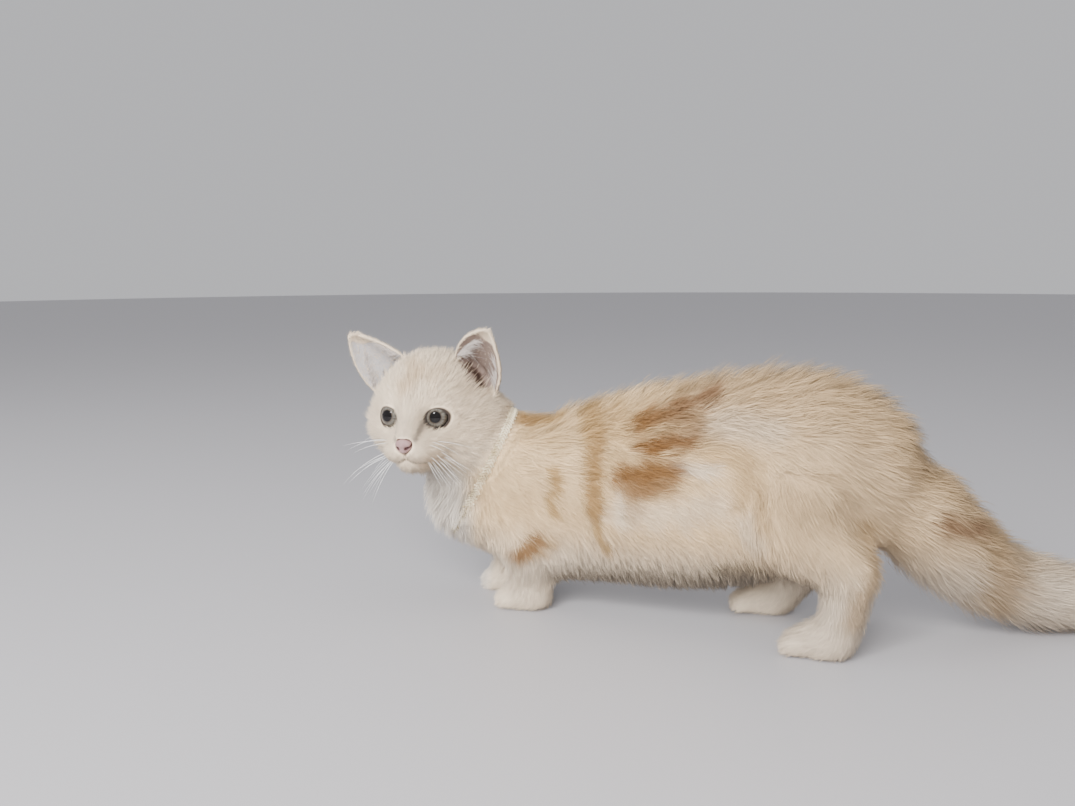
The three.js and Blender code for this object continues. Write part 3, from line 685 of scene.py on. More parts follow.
# The sizes of the hairs at each point of the skin, and the way that they lie
def planCoat(points, normals, owners, net):
    sizes = np.array([coatOf[kindOf(name)] for name in fleshNodes])
    plan = net.spread(sizes[owners], blendPasses["sizes"])
    lie = unit(np.array([lieOf(name) for name in fleshNodes]))[owners]
    spots = toHead(points)
    fromNose = spots - np.array(faceCoat["nose"])
    onHead = owners == fleshNodes.index("head")
    lie[onHead] = unit(fromNose[onHead] @ headTurn.T)
    onEar = np.isin(owners, [fleshNodes.index(f"ear_{side}") for side in sides])
    lie[onEar] = unit((toLeft(np.array(earForm["tip"]), spots) - spots)[onEar] @ headTurn.T)

    stance = toStance(points)
    forward, height = stance[:, 0], stance[:, 2]
    kinds = np.array([kindOf(name) for name in fleshNodes])[owners]
    trunk = np.isin(kinds, ("torso", "thigh", "neck"))
    belly = trunk * ramp(*fringeForm["below"], height)
    belly = (belly * ramp(*fringeForm["facing"], normals[:, 2]))[:, None]
    chest = np.isin(kinds, ("torso", "neck")) * ramp(*fringeForm["chestFrom"], forward)
    chest = (chest * ramp(*fringeForm["chestBelow"], height))[:, None]
    belly, chest = (net.spread(zone, blendPasses["fringe"]) for zone in (belly, chest))
    lie = mixed(lie, np.array(fringeForm["way"]), belly)
    lie = mixed(lie, np.array(fringeForm["chestWay"]), chest * (1 - belly))
    lie = unit(net.spread(lie, blendPasses["way"]))
    lie = unit(lie - normals * along(lie, normals))
    side = np.cross(normals, lie)
    body = bodyShare(points)
    lie = turned(lie, side, body * wavers(stance, wavyForm["turn"]))

    belly, chest = belly[:, 0], chest[:, 0]
    plan[:, liftAt] += body * wavers(stance, wavyForm["lift"])
    plan[:, liftAt] = mixed(plan[:, liftAt], fringeForm["bellyLift"], belly)
    plan[:, liftAt] = mixed(plan[:, liftAt], fringeForm["chestLift"], chest * (1 - belly))
    drawn = np.maximum(belly, fringeForm["chestPull"] * chest)
    plan[:, pullAt] = mixed(plan[:, pullAt], fringeForm["pull"], drawn)
    plan[:, lengthAt] *= mixed(1, fringeForm["short"], belly)
    plan[:, depthAt] += fringeForm["deeper"] * belly

    high = trunk * ramp(*backForm["facing"], normals[:, 2]) * ramp(*backForm["behind"], forward)
    high = net.spread(high[:, None], blendPasses["back"])[:, 0]
    plan[:, lengthAt] *= 1 + backForm["longer"] * high
    plan[:, liftAt] += backForm["lift"] * high
    plan[:, pullAt] += backForm["pull"] * high

    byBand = bandShare(points, *collarForm["clear"])
    plan[:, lengthAt] *= mixed(1, collarForm["short"], byBand)
    plan[:, liftAt] *= mixed(1, collarForm["flat"], byBand)

    noseFar = ramp(*faceCoat["noseReach"], farFrom(fromNose))
    eyeFar = ramp(*faceCoat["eyeReach"], farFrom(toLeft(spots, spots), faceCoat["eye"]))
    near = farFrom(spots) < faceCoat["within"]
    for column, byNose, byEye in faceCoat["shares"]:
        plan[near, column] *= mixed(byNose, 1, noseFar[near]) * mixed(byEye, 1, eyeFar[near])
    return plan, lie


owners = nearestNodes(pointsOf(skin.data))
print("owners found")
normals = normalsOf(skin.data)
plan, lie = planCoat(pointsOf(skin.data), normals, owners, net)
swell = swellAt(pointsOf(skin.data))[:, None] - skinForm["swell"][0]
depth = (net.spread(plan[:, depthAt][:, None], blendPasses["depth"]) + swell) * mm

points = pointsOf(skin.data)
for _ in range(skinForm["insetSteps"]):
    setPoints(skin.data, points)
    inward = net.spread(normalsOf(skin.data), 1)
    points = points - unit(inward) * depth / skinForm["insetSteps"]
    points = mixed(points, net.ease(points, 1), ofBody)
points = iron(points, net, onTrunk, ironForm["passesInside"])
setPoints(skin.data, points)
print("skin laid inside the coat")

# Face

eyeForm = {
    "centre": (14.5, 15.4, -1.6),
    "radius": 10,
    "outward": 15,
    "opening": (16.7, 13.0),
    "corners": (2.2, 1.75),
    "aside": -1.2,
    "slant": 12,
    "within": 18,
    "lid": (0.45, 1.35),
    "lidFull": (1.0, 1.25),
    "lidReach": (1.15, 1.65),
    "shaped": 3,
    "ahead": 1,
    "outerFacing": -0.15,
    "leastShare": 0.2,
    "foldAbove": -2,
    "buried": 0.25,
    "buriedReach": 2.2,
    "crease": 0.5,
    "creaseAt": 1.5,
    "creaseWidth": 0.09,
}
mouthForm = {
    "line": [(0, -25.6), (4.3, -27.9), (9.4, -29.4), (14.6, -28.9), (19.5, -26.6)],
    "ahead": 14,
    "reach": 1.3,
    "depth": 0.8,
    "groove": [(0, -20.6), (0, -25.6)],
    "grooveShare": 0.5,
    "pad": ((26, 16, -22), 7, 1.7),
    "chin": ((31, 0, -33), 7, -1.2),
}


def eyeCentre(side):
    ahead, out, up = eyeForm["centre"]
    return np.array((ahead, out * side + eyeForm["aside"], up))


# An eye's own axes in the head's frame: across the opening, up it and out of it
def eyeAxes(side):
    outward = Matrix.Rotation(math.radians(eyeForm["outward"] * side), 3, "Z")
    out = np.array(outward @ Vector((1, 0, 0)))
    across = np.cross((0, 0, 1), out)
    up = np.cross(out, across)
    slant = math.radians(eyeForm["slant"] * side)
    turnedAcross = across * math.cos(slant) + up * math.sin(slant)
    return np.array((turnedAcross, np.cross(out, turnedAcross), out))


# How far out a place is from the middle of the eye's opening, as a share of the way to its rim
def openingShare(across, up):
    halfWide, halfHigh = eyeForm["opening"][0] / 2, eyeForm["opening"][1] / 2
    sideways, upwards = eyeForm["corners"]
    scale = np.ones(len(across))
    for _ in range(12):
        total = np.abs(across * scale / halfWide) ** sideways
        total = total + np.abs(up * scale / halfHigh) ** upwards + 1e-9
        scale = scale / total ** 0.5
    return 1 / scale


def eyeShare(spots, side):
    centre = eyeCentre(side)
    local = (spots - centre) @ eyeAxes(side).T
    share = openingShare(local[:, 0], local[:, 1])
    front = (local[:, 2] > eyeForm["ahead"]) & (farFrom(local) < eyeForm["within"])
    return np.where(front, share, farAway), local, centre


# The skin about an eye is drawn out to the lids
def shapeLids(spots, facing, side):
    share, local, centre = eyeShare(spots, side)
    radius = eyeForm["radius"]
    reach = farFrom(local)
    outer = along(facing @ eyeAxes(side).T, unit(local))[:, 0] > eyeForm["outerFacing"]
    near = share < eyeForm["shaped"]
    flat = np.maximum(1, 1 / np.maximum(share, eyeForm["leastShare"]))
    local[near, :2] *= flat[near, None]
    lidReach = radius + mixed(*eyeForm["lid"], ramp(*eyeForm["lidFull"], share))
    fromCrease = (share - eyeForm["creaseAt"]) / eyeForm["creaseWidth"]
    fold = eyeForm["crease"] * np.exp(-fromCrease ** 2) * (local[:, 1] > eyeForm["foldAbove"])
    weight = 1 - ramp(*eyeForm["lidReach"], share)
    target = np.where(outer, mixed(reach - fold, lidReach, weight), radius + eyeForm["buried"])
    moved = unit(local) * np.where(near, target, reach)[:, None]
    result = spots.copy()
    change = near & (outer | (share < eyeForm["buriedReach"]))
    result[change] = (moved @ eyeAxes(side) + centre)[change]
    return result


# The distance of places on the front of the face from a line of (y, z) points
def lineDistance(spots, line):
    flat = np.column_stack((np.abs(spots[:, 1]), spots[:, 2]))
    return np.where(spots[:, 0] > mouthForm["ahead"], courseDistance(flat, line), farAway)


def shapeMouth(spots, facing):
    reach = mouthForm["reach"]
    mouth = lineDistance(spots, mouthForm["line"])
    groove = lineDistance(spots, mouthForm["groove"])
    push = mouthForm["depth"] * np.exp(-(mouth / reach) ** 2)
    for place, size, out in (mouthForm["pad"], mouthForm["chin"]):
        push -= out * np.exp(-(farFrom(toLeft(spots, spots), place) / size) ** 2)
    push += mouthForm["grooveShare"] * mouthForm["depth"] * np.exp(-(groove / reach) ** 2)
    return spots - facing * push[:, None]


spots = toHead(points)
for side in sides.values():
    spots = shapeLids(spots, normalsOf(skin.data) @ headTurn, side)
spots = shapeMouth(spots, normalsOf(skin.data) @ headTurn)
onHead = farFrom(toHead(points)) < faceForm["shapedWithin"]
points[onHead] = fromHead(spots[onHead])
setPoints(skin.data, points)
normals = normalsOf(skin.data)
lie = unit(lie - normals * along(lie, normals))
print("face shaped")

unwrapForm = {"angle": 72, "margin": 0.002}


# An unwrap of the skin, which the tufts' own maps are laid out on
def unwrap(skin):
    bpy.context.view_layer.objects.active = skin
    skin.select_set(True)
    bpy.ops.object.mode_set(mode="EDIT")
    bpy.ops.mesh.select_all(action="SELECT")
    bpy.ops.uv.smart_project(
        angle_limit=math.radians(unwrapForm["angle"]), island_margin=unwrapForm["margin"],
    )
    bpy.ops.object.mode_set(mode="OBJECT")
    skin.select_set(False)
    skin.data.uv_layers[0].name = "OFBake"


unwrap(skin)
print("skin unwrapped")

# Markings and painted shade

# Strokes of colour are courses of places, with a half width in millimetres and a strength. On the
# trunk a place is the distance forward and the angle round its axis from the top, about a
# millimetre a degree
trunkAxis = (
    (-124, -103, -75, -45, -10, 25, 60, 92, 118),
    (106, 104, 98, 90, 84.5, 79.5, 74, 74, 78),
)
saddleOrange = [
    ([(-11, 35), (-22, 31), (-36, 27), (-50, 22)], 7.5, 0.95),
    ([(-22, 32), (-36, 31)], 8, 0.75),
    ([(19, 40), (17.5, 75), (16.5, 100)], 5.5, 0.3),
    ([(90, 10), (72, 12)], 9, 0.34),
    ([(-40, 34), (-45, 42)], 7, 0.6),
    ([(-12, 51), (-28, 51.5), (-43, 50)], 7, 1.0),
    ([(-4, 71), (-18, 71), (-32, 72)], 10, 0.95),
    ([(-7, 80), (-20, 80), (-31, 79)], 8, 0.85),
    ([(-8, 86), (-11, 99)], 6, 0.36),
]
saddleTan = [
    ([(31, 12), (24, 30), (20, 44), (18, 58)], 10, 0.9),
    ([(18, 56), (17.5, 75), (16.5, 96)], 7, 0.95),
    ([(16.5, 96), (14.8, 113), (10, 131)], 3.0, 0.85),
    ([(18, 28), (2, 34), (-14, 38)], 17, 0.6),
    ([(14, 54), (2, 58), (-8, 62)], 10, 0.45),
    ([(-10, 60), (-32, 60)], 8, 0.5),
    ([(-12, 40), (-44, 39)], 10, 0.62),
    ([(-48, 52), (-60, 60), (-70, 66), (-78, 73)], 8, 0.52),
    ([(-78, 72), (-79.5, 82), (-73, 99)], 6.5, 0.55),
    ([(-86, 76), (-86.5, 92), (-91, 112)], 5, 0.46),
    ([(47, 60), (43.5, 73), (48.5, 83), (46, 97)], 3.6, 0.95),
    ([(88, 10), (75, 11), (60, 15)], 9, 0.95),
    ([(72, 24), (58, 30), (44, 34)], 12, 0.28),
    ([(-104, 100), (-116, 104)], 12, 0.22),
]
backTan = [
    ([(-40, 0), (-100, 0), (-150, 0)], 38, 0.42),
    ([(-88, 20), (-128, 28), (-150, 36)], 24, 0.36),
]
saddlePale = [
    ([(-60, 42), (-76, 47), (-92, 52)], 10, 0.28),
    ([(-35, 66), (-46, 70), (-60, 74)], 4.5, 0.5),
    ([(4, 100), (-30, 103), (-62, 100)], 11, 0.3),
    ([(-78, 112), (-84, 122)], 9, 0.3),
    ([(0, 84), (0, 104)], 4, 0.5),
]
# Elsewhere a place is millimetres forward, to the left and up
limbTan = [
    ([(-146, 30, 76), (-150, 42, 57), (-145, 48, 38), (-141, 47, 26)], 7.5, 0.6),
    ([(50, 41, 50), (58, 42, 46), (68, 44, 43)], 7, 0.6),
]
limbOrange = [
    ([(56, 42, 52), (64, 44, 46), (76, 44, 41)], 5.5, 0.85),
]
tailTan = [
    ([(-150, 12, 136), (-178, 0, 110), (-202, -12, 88)], 20, 0.5),
    ([(-218, -18, 66), (-222, -21, 42), (-218, -21, 18)], 16, 0.7),
    ([(-226, -28, 52), (-228, -30, 38)], 13, 0.5),
]
tailOrange = [
    ([(-188, 8, 77), (-198, 0, 76), (-207, -10, 74)], 7, 0.9),
]
tailGrey = [
    ([(-172, 4, 122), (-184, -2, 108)], 7, 0.3),
    ([(-184, -2, 108), (-198, -10, 92)], 6, 0.35),
]
# On the head a place is millimetres out of the face, to its left and up
faceTan = [
    ([(19.4, -6.7, 20), (15.8, -0.8, 25.6), (12, 1.5, 30)], 6.5, 0.52),
    ([(12, -5, 31), (4, -8, 35)], 5, 0.42),
    ([(14, 9.5, 26), (8, 15, 29.5)], 6, 0.34),
    ([(21, -9, 17.5), (22.8, -9.2, 13.5), (24, -9, 9)], 1.4, 0.6),
    ([(20, 31, -6), (10, 44, -6)], 15, 0.2),
    ([(14, 20, 16), (8, 30, 14)], 10, 0.16),
]
faceGrey = [
    ([(26.5, 9.8, -2), (32.9, 7.3, -9.1), (37, 6.6, -13)], 2.2, 0.75),
    ([(24, 10.5, -1), (29, 9, -5)], 2.0, 0.7),
    ([(38, 0, -10), (35, 0, -3)], 4.6, 0.26),
    ([(24, 22.5, -21.8), (20.5, 29.4, -23.7), (17.4, 35.8, -26.1)], 1.8, 0.42),
    ([(23.4, 25.4, -17.2), (20.7, 31.2, -19.5)], 1.4, 0.3),
    ([(20.7, 24.5, 2.9), (16.5, 31.9, 1), (14.5, 36, 0.1)], 1.8, 0.22),
    ([(33.5, 12, -17), (29.5, 18, -18)], 0.7, 0.5),
    ([(33, 12.5, -19.6), (28.5, 19, -20.6)], 0.7, 0.5),
    ([(32, 13, -22.2), (27.5, 19.5, -23.2)], 0.7, 0.45),
]


markAndShadeForm = {
    "head": (66, 52),
    "ear": (-3, 40, 40),
    "earReach": (32, 26),
    "rough": [(0.28, 15, 3), (0.16, 5, 4)],
    "fine": [(0.22, 7, 5), (0.15, 3, 6)],
    "strokeEdge": (1.65, 0.25),
    "rightMoved": (15, 4),
    "rightShare": 0.9,
    "tail": (-146, -160),
    "rear": (-50, -110),
    "back": (0, -60),
    "backAbove": (110, 135),
    "rearGrey": 0.27,
    "lowGrey": 0.04,
    "lowGreyBelow": (60, 30),
    "face": 0.72,
    "faceOrange": 0.3,
    "headWhite": 0.54,
    "low": (70, 30),
    "lowWhite": 0.6,
    "chest": (98, 122),
    "chestBelow": (108, 86),
}


def strokeShare(points, strokes, rough):
    total = np.zeros(len(points))
    for course, width, strength in strokes:
        away = courseDistance(points, course) / width
        total = np.maximum(total, strength * ramp(*markAndShadeForm["strokeEdge"], away + rough))
    return total


# The strokes with their mirror images on the other side
def paired(strokes):
    return strokes + [
        ([(*place[:-2], -place[-2], place[-1]) for place in course], *rest)
        for course, *rest in strokes
    ]


# Strokes on the left flank, and the same on the right, moved a little and fainter
def flankShare(around, strokes, rough):
    right = around * (1, -1) + markAndShadeForm["rightMoved"]
    other = markAndShadeForm["rightShare"] * strokeShare(right, strokes, -rough)
    return np.maximum(strokeShare(around, strokes, rough), other)


# Places on the trunk as the distance forward and the angle round its axis, below zero on the right
def roundTrunk(stance):
    axis = np.interp(stance[:, 0], *trunkAxis)
    angle = np.degrees(np.arctan2(stance[:, 1], stance[:, 2] - axis))
    return np.column_stack((stance[:, 0], angle))


# The shares of orange, tan, grey and white. The grey share also holds painted shade on the top of
# the back, on the rear and low on the hind legs
def marksAndShadeAt(points):
    stance = toStance(points)
    forward, height = stance[:, 0], stance[:, 2]
    around = roundTrunk(stance)
    head = toHead(points)
    onEar = ramp(*markAndShadeForm["earReach"], farFrom(toLeft(head, head), markAndShadeForm["ear"]))
    onHead = np.maximum(ramp(*markAndShadeForm["head"], farFrom(head)), onEar)
    onTail = ramp(*markAndShadeForm["tail"], forward)
    rough = wavers(stance, markAndShadeForm["rough"])
    fine = wavers(head, markAndShadeForm["fine"])

    tan = np.maximum(flankShare(around, saddleTan, rough), strokeShare(around, backTan, rough))
    tan = np.maximum(tan * (1 - onTail), strokeShare(stance, paired(limbTan), rough))
    tan = np.maximum(tan, strokeShare(stance, tailTan, rough) * onTail)
    orange = flankShare(around, saddleOrange, rough) * (1 - onTail)
    orange = np.maximum(orange, strokeShare(stance, paired(limbOrange) + tailOrange, rough))

    # Painted shade: the top of the back and the rear are greyed, and more so low on the hind legs
    rear = ramp(*markAndShadeForm["back"], forward) * ramp(*markAndShadeForm["backAbove"], height)
    rear = np.maximum(ramp(*markAndShadeForm["rear"], forward), rear)
    lowGrey = markAndShadeForm["lowGrey"] * ramp(*markAndShadeForm["lowGreyBelow"], height) * (1 - onTail)
    rear = (markAndShadeForm["rearGrey"] + lowGrey) * rear
    grey = np.maximum(strokeShare(stance, tailGrey, rough), rear)
    grey = mixed(grey, strokeShare(head, paired(faceGrey), fine), onHead)

    face = markAndShadeForm["face"] * strokeShare(head, faceTan, fine)
    tan = mixed(tan, face, onHead)
    pale = strokeShare(around, saddlePale, rough) * (1 - onTail) * (1 - onHead)
    low = ramp(*markAndShadeForm["low"], height) * (1 - onHead)
    chest = ramp(*markAndShadeForm["chest"], forward) * ramp(*markAndShadeForm["chestBelow"], height)
    white = np.maximum(onHead * markAndShadeForm["headWhite"], chest)
    white = np.maximum(white, np.maximum(low * markAndShadeForm["lowWhite"], pale))
    orange = np.maximum(orange * (1 - onHead), markAndShadeForm["faceOrange"] * face * onHead)
    return np.column_stack((orange, tan, grey, white))


paint(skin.data, "marks", marksAndShadeAt(pointsOf(skin.data)))

bareForm = {
    "inside": (0.1, -0.25),
    "ear": ((-26, 17, 12), 19),
    "earFrom": -0.3,
    "rim": (1.24, 1.08),
    "mouth": (1.2, 0.3),
    "mouthDark": 0.75,
    "groove": (1.0, 0.2),
    "grooveDark": 0.5,
    "grooveWide": (2.2, 0.5),
    "canal": (1.3, 0.6),
    "canalRough": [(0.35, 4, 17)],
    "sole": (4, 1),
    "soleFacing": (-0.3, -0.8),
    "head": 72,
}


# How far a place is inside the hollow of an ear, which faces the line up the hollow's middle
def earShares(spots, facing):
    left, faces = toLeft(spots, spots), toLeft(facing, spots)
    foot, tip = np.array(earForm["foot"]), np.array(earForm["tip"])
    tall = tip - foot
    height = (left - foot) @ tall / (tall @ tall)
    away = left - foot - np.clip(height, 0, 1)[:, None] * tall
    inside = ramp(*bareForm["inside"], along(faces, unit(away))[:, 0])
    corner, reach = bareForm["ear"]
    isEar = (left > corner).all(axis=1) & (height > bareForm["earFrom"]) & (farFrom(away) < reach)
    return np.where(isEar, inside, 0), left


# Bare skin: how dark, how pink, how much painted shade lies deep in the ear, and whether in the far
# ear, whose hollow is painted paler as painted light
def bareAt(points, facing):
    spots = toHead(points)
    shares = [eyeShare(spots, side)[0] for side in sides.values()]
    rim = ramp(*bareForm["rim"], np.minimum(*shares))
    mouth = lineDistance(spots, mouthForm["line"])
    groove = lineDistance(spots, mouthForm["groove"])
    dark = np.maximum(rim, bareForm["mouthDark"] * ramp(*bareForm["mouth"], mouth))
    dark = np.maximum(dark, bareForm["grooveDark"] * ramp(*bareForm["groove"], groove))
    inside, left = earShares(spots, facing @ headTurn)
    # Painted shade deep in the ear's hollow, along the canal's course
    depth = courseDistance(left, earForm["canal"]) / earForm["canalReach"]
    canal = inside * ramp(*bareForm["canal"], depth + wavers(left, bareForm["canalRough"]))
    onHead = (farFrom(spots) < bareForm["head"]) | (inside > 0)
    sole = ramp(*bareForm["sole"], toStance(points)[:, 2])
    sole = sole * ramp(*bareForm["soleFacing"], facing[:, 2])
    pink = np.maximum(inside, bareForm["grooveDark"] * ramp(*bareForm["grooveWide"], groove))
    pink = np.where(onHead, np.maximum(pink, sole), sole)
    # The far ear's hollow is marked so it can be painted paler than the near one, as painted light
    far = np.where(spots[:, 1] < 0, inside, 0)
    return np.column_stack((dark * onHead, pink, canal * onHead, far * onHead))


paint(skin.data, "bare", bareAt(pointsOf(skin.data), normals))
print("markings laid")

coatColors = {
    "cream": (0.78, 0.56, 0.32),
    "white": (0.83, 0.745, 0.64),
    "tan": (0.44, 0.275, 0.115),
    "orange": (0.205, 0.098, 0.034),
    "grey": (0.20, 0.165, 0.145),
}


def coatColor(finish):
    orange, tan, grey, white = finish.channels("marks")
    color = finish.mix(white, coatColors["cream"], coatColors["white"])
    color = finish.mix(tan, color, coatColors["tan"])
    color = finish.mix(orange, color, coatColors["orange"])
    # The grey share carries both grey markings and painted shade
    return finish.mix(grey, color, coatColors["grey"])


def coatFinish():
    finish = Finish(
        "coat", Roughness=0.62, Sheen_Weight=0.06, Sheen_Roughness=0.4, Specular_IOR_Level=0.12,
    )
    # The tone attribute darkens the colour: random tone and painted shade
    tone = finish.channels("tone")[0]
    shade = finish.node("ShaderNodeCombineColor", {}, {0: tone, 1: tone, 2: tone})
    finish.set("Base Color", finish.mix(1.0, coatColor(finish), shade, "MULTIPLY"))
    return finish.material


skinColors = {
    "worn": (0.46, 0.34, 0.24),
    "pink": (0.20, 0.148, 0.125),
    "pale": (0.50, 0.48, 0.485),
    "canal": (0.06, 0.036, 0.029),
    "rim": (0.045, 0.035, 0.03),
}


def skinFinish():
    finish = Finish("hide", Roughness=0.7, Specular_IOR_Level=0.2)
    fine = finish.noise(900, 3)
    soft = finish.noise(120, 2)
    color = finish.mix(fine * 0.15, coatColor(finish), skinColors["worn"])
    dark, pink, canal, pale = finish.channels("bare")
    # Painted light: the far ear's hollow gets the pale colour and the near one the darker pink
    color = finish.mix(pink, color, finish.mix(pale, skinColors["pink"], skinColors["pale"]))
    # Painted shade deep in the ear's hollow
    color = finish.mix(canal, color, skinColors["canal"])
    color = finish.mix(dark, color, skinColors["rim"])
    finish.set("Base Color", color)
    finish.bump(fine + soft * 2, 0.0006, 0.6)
    return finish.material


coatLook = coatFinish()
skin.data.materials.clear()
skin.data.materials.append(skinFinish())
smooth(skin.data)

# Tufts

tuftForm = {
    "seed": 41,
    "clumpSpacing": 4.5,
    "clumpLeast": 1.2,
    "clumpFor": 12,
    "clumpTurn": 6,
    "clumpLift": 3.5,
    "clumpLength": (0.86, 1.12),
    "clumpTone": 0.03,
    "hairTurn": 7,
    "hairLift": 5,
    "hairLength": (0.75, 1.12),
    "hairPull": (0.6, 1.25),
    "hairTone": 0.045,
    "tones": (0.75, 1.2),
    "tipTone": 0.10,
    "lifts": (4, 70),
    "guards": 0.10,
    "guardLift": 4,
    "guardLonger": 0.18,
    "guardThinner": 0.15,
    "middle": (0.45, 0.62),
    "middlePull": 0.2,
    "tip": 0.98,
    "wide": (0.85, 1.0),
    "seen": (0.5, 0.3),
    "thick": 0.45,
    "floorClear": 0.3,
    "roundness": 0.28,
    "sink": 0.5,
    "patch": 0.003,
    "pieceTriangles": 190000,
    "share": 0.85,
}


# How many hairs of a plan's sizes cover a square millimetre
def coverOf(plan):
    return plan[:, layersAt] / (0.5 * plan[:, widthAt] * plan[:, lengthAt])


# Roots spread over the skin, each with the values of its place
def sowRoots(skin, plan, lie, rng):
    mesh = skin.data
    mesh.calc_loop_triangles()
    corners = rowsOf(mesh.loop_triangles, "vertices", 3, np.int64)
    loops = rowsOf(mesh.loop_triangles, "loops", 3, np.int64)
    uv = rowsOf(mesh.uv_layers["OFBake"].data, "uv", 2)
    count = len(corners)
    points, normals = pointsOf(mesh), normalsOf(mesh)
    a, b, c = (points[corners[:, n]] for n in range(3))
    area = np.linalg.norm(np.cross(b - a, c - a), axis=1) / 2 / mm ** 2
    wanted = area * coverOf(plan)[corners].mean(axis=1) * tuftForm["share"]
    number = np.floor(wanted + rng.random(count)).astype(int)
    faces = np.repeat(np.arange(count), number)
    u, v = rng.random((2, len(faces)))
    over = u + v > 1
    u[over], v[over] = 1 - u[over], 1 - v[over]
    weights = np.column_stack((1 - u - v, u, v))

    def blend(values, index=corners):
        return np.einsum("ij,ijk->ik", weights, values[index[faces]])

    return {
        "root": blend(points),
        "normal": unit(blend(normals)),
        "lie": unit(blend(lie)),
        "plan": blend(plan),
        "uv": blend(uv, loops),
        "owner": owners[corners[faces, 0]],
    }


rng = np.random.default_rng(tuftForm["seed"])
hairs = sowRoots(skin, plan, lie, rng)
print("roots sown", len(hairs["root"]))


def keepHairs(hairs, kept):
    return {key: value[kept] for key, value in hairs.items()}


clearForm = {
    "eye": 1.18,
    "eyeball": 10.9,
    "nose": ((38.6, 0, -16.4), (6, 6.6, 6.2)),
    "sole": 3,
    "soleFacing": -0.5,
    "mouth": 0.4,
}


# Hairs stay off the eyes, the nose, the soles and the inside of the ears
def clearBare(hairs, rng):
    spots = toHead(hairs["root"])
    eye = np.zeros(len(spots), bool)
    for side in sides.values():
        share, local, _ = eyeShare(spots, side)
        onEyeball = (farFrom(local) < clearForm["eyeball"]) & (share < eyeForm["shaped"])
        eye |= (share < clearForm["eye"]) | onEyeball
    middle, radii = clearForm["nose"]
    nose = farFrom((spots - np.array(middle)) / np.array(radii)) < 1
    sole = hairs["root"][:, 2] < clearForm["sole"] * mm
    sole &= hairs["normal"][:, 2] < clearForm["soleFacing"]
    inside, _ = earShares(spots, hairs["normal"] @ headTurn)
    bare = np.where(spots[:, 1] > 0, earForm["bare"]["left"], earForm["bare"]["right"])
    ear = rng.random(len(inside)) < inside * bare
    mouth = lineDistance(spots, mouthForm["line"]) < clearForm["mouth"]
    return keepHairs(hairs, ~(eye | nose | sole | ear | mouth))


hairs = clearBare(hairs, rng)


# Some hairs head a clump, and each hair joins the nearest one
def clumpHairs(hairs, rng):
    plan = hairs["plan"]
    spacing = tuftForm["clumpSpacing"] * plan[:, lengthAt] / tuftForm["clumpFor"]
    spacing = np.maximum(spacing, tuftForm["clumpLeast"])
    chance = 1 / (coverOf(plan) * spacing ** 2)
    heads = np.flatnonzero(rng.random(len(chance)) < chance)
    tree = KDTree(len(heads))
    for n, index in enumerate(heads):
        tree.insert(hairs["root"][index], n)
    tree.balance()
    return heads, np.array([tree.find(root)[1] for root in hairs["root"]])


heads, clump = clumpHairs(hairs, rng)
print("clumps", len(heads))


# The middle and the tip of each hair, bent towards the tip of its clump
def shapeHairs(hairs, heads, clump, rng):
    count = len(clump)
    root, normal, lie, guard = (hairs[key] for key in ("root", "normal", "lie", "guard"))
    length, lift, width, pull = (hairs["plan"][:, n] for n in (lengthAt, liftAt, widthAt, pullAt))
    side = unit(np.cross(normal, lie))
    clumpTurn = rng.normal(0, tuftForm["clumpTurn"], len(heads))
    clumpLift = rng.normal(0, tuftForm["clumpLift"], len(heads))
    clumpLength = rng.uniform(*tuftForm["clumpLength"], len(heads))
    lie = turned(lie, side, clumpTurn[clump] + rng.normal(0, tuftForm["hairTurn"], count))
    side = unit(np.cross(normal, lie))
    lift = lift + tuftForm["guardLift"] * guard + clumpLift[clump]
    lift = lift + rng.normal(0, tuftForm["hairLift"], count)
    angle = np.radians(np.clip(lift, *tuftForm["lifts"]))
    length = length * clumpLength[clump] * rng.uniform(*tuftForm["hairLength"], count)
    length = length * (1 + tuftForm["guardLonger"] * guard) * mm
    ahead, rise = (length * np.cos(angle))[:, None], (length * np.sin(angle))[:, None]
    middleAhead, middleRise = tuftForm["middle"]
    middle = root + lie * ahead * middleAhead + normal * rise * middleRise
    tip = root + lie * ahead + normal * rise * tuftForm["tip"]
    headTip = tip[heads]
    pull = (pull * rng.uniform(*tuftForm["hairPull"], count))[:, None]
    tip = mixed(tip, headTip[clump], pull)
    middle = mixed(middle, middle + headTip[clump] - tip, pull * tuftForm["middlePull"])
    for points in (root, middle, tip):
        points[:, 2] = np.maximum(points[:, 2], tuftForm["floorClear"] * mm)
    base = root - normal * tuftForm["sink"] * mm
    width = width * (1 - tuftForm["guardThinner"] * guard) * mm
    return {"base": base, "middle": middle, "tip": tip, "side": side, "width": width}


# A long hair bends at its middle, and a short one is straight. Both are closed and three-sided
hairShapes = {
    "long": {
        "faces": [
            (0, 1, 4), (0, 4, 3), (1, 2, 5), (1, 5, 4), (2, 0, 3), (2, 3, 5),
            (3, 4, 6), (4, 5, 6), (5, 3, 6), (0, 2, 1),
        ],
        "across": (0, 1, 0.5, 0, 1, 0.5, 0.5),
        "down": (0, 0, 0, 0.5, 0.5, 0.5, 1),
    },
    "short": {
        "faces": [(0, 1, 3), (1, 2, 3), (2, 0, 3), (0, 2, 1)],
        "across": (0, 1, 0.5, 0.5),
        "down": (0, 0, 0, 1),
    },
}


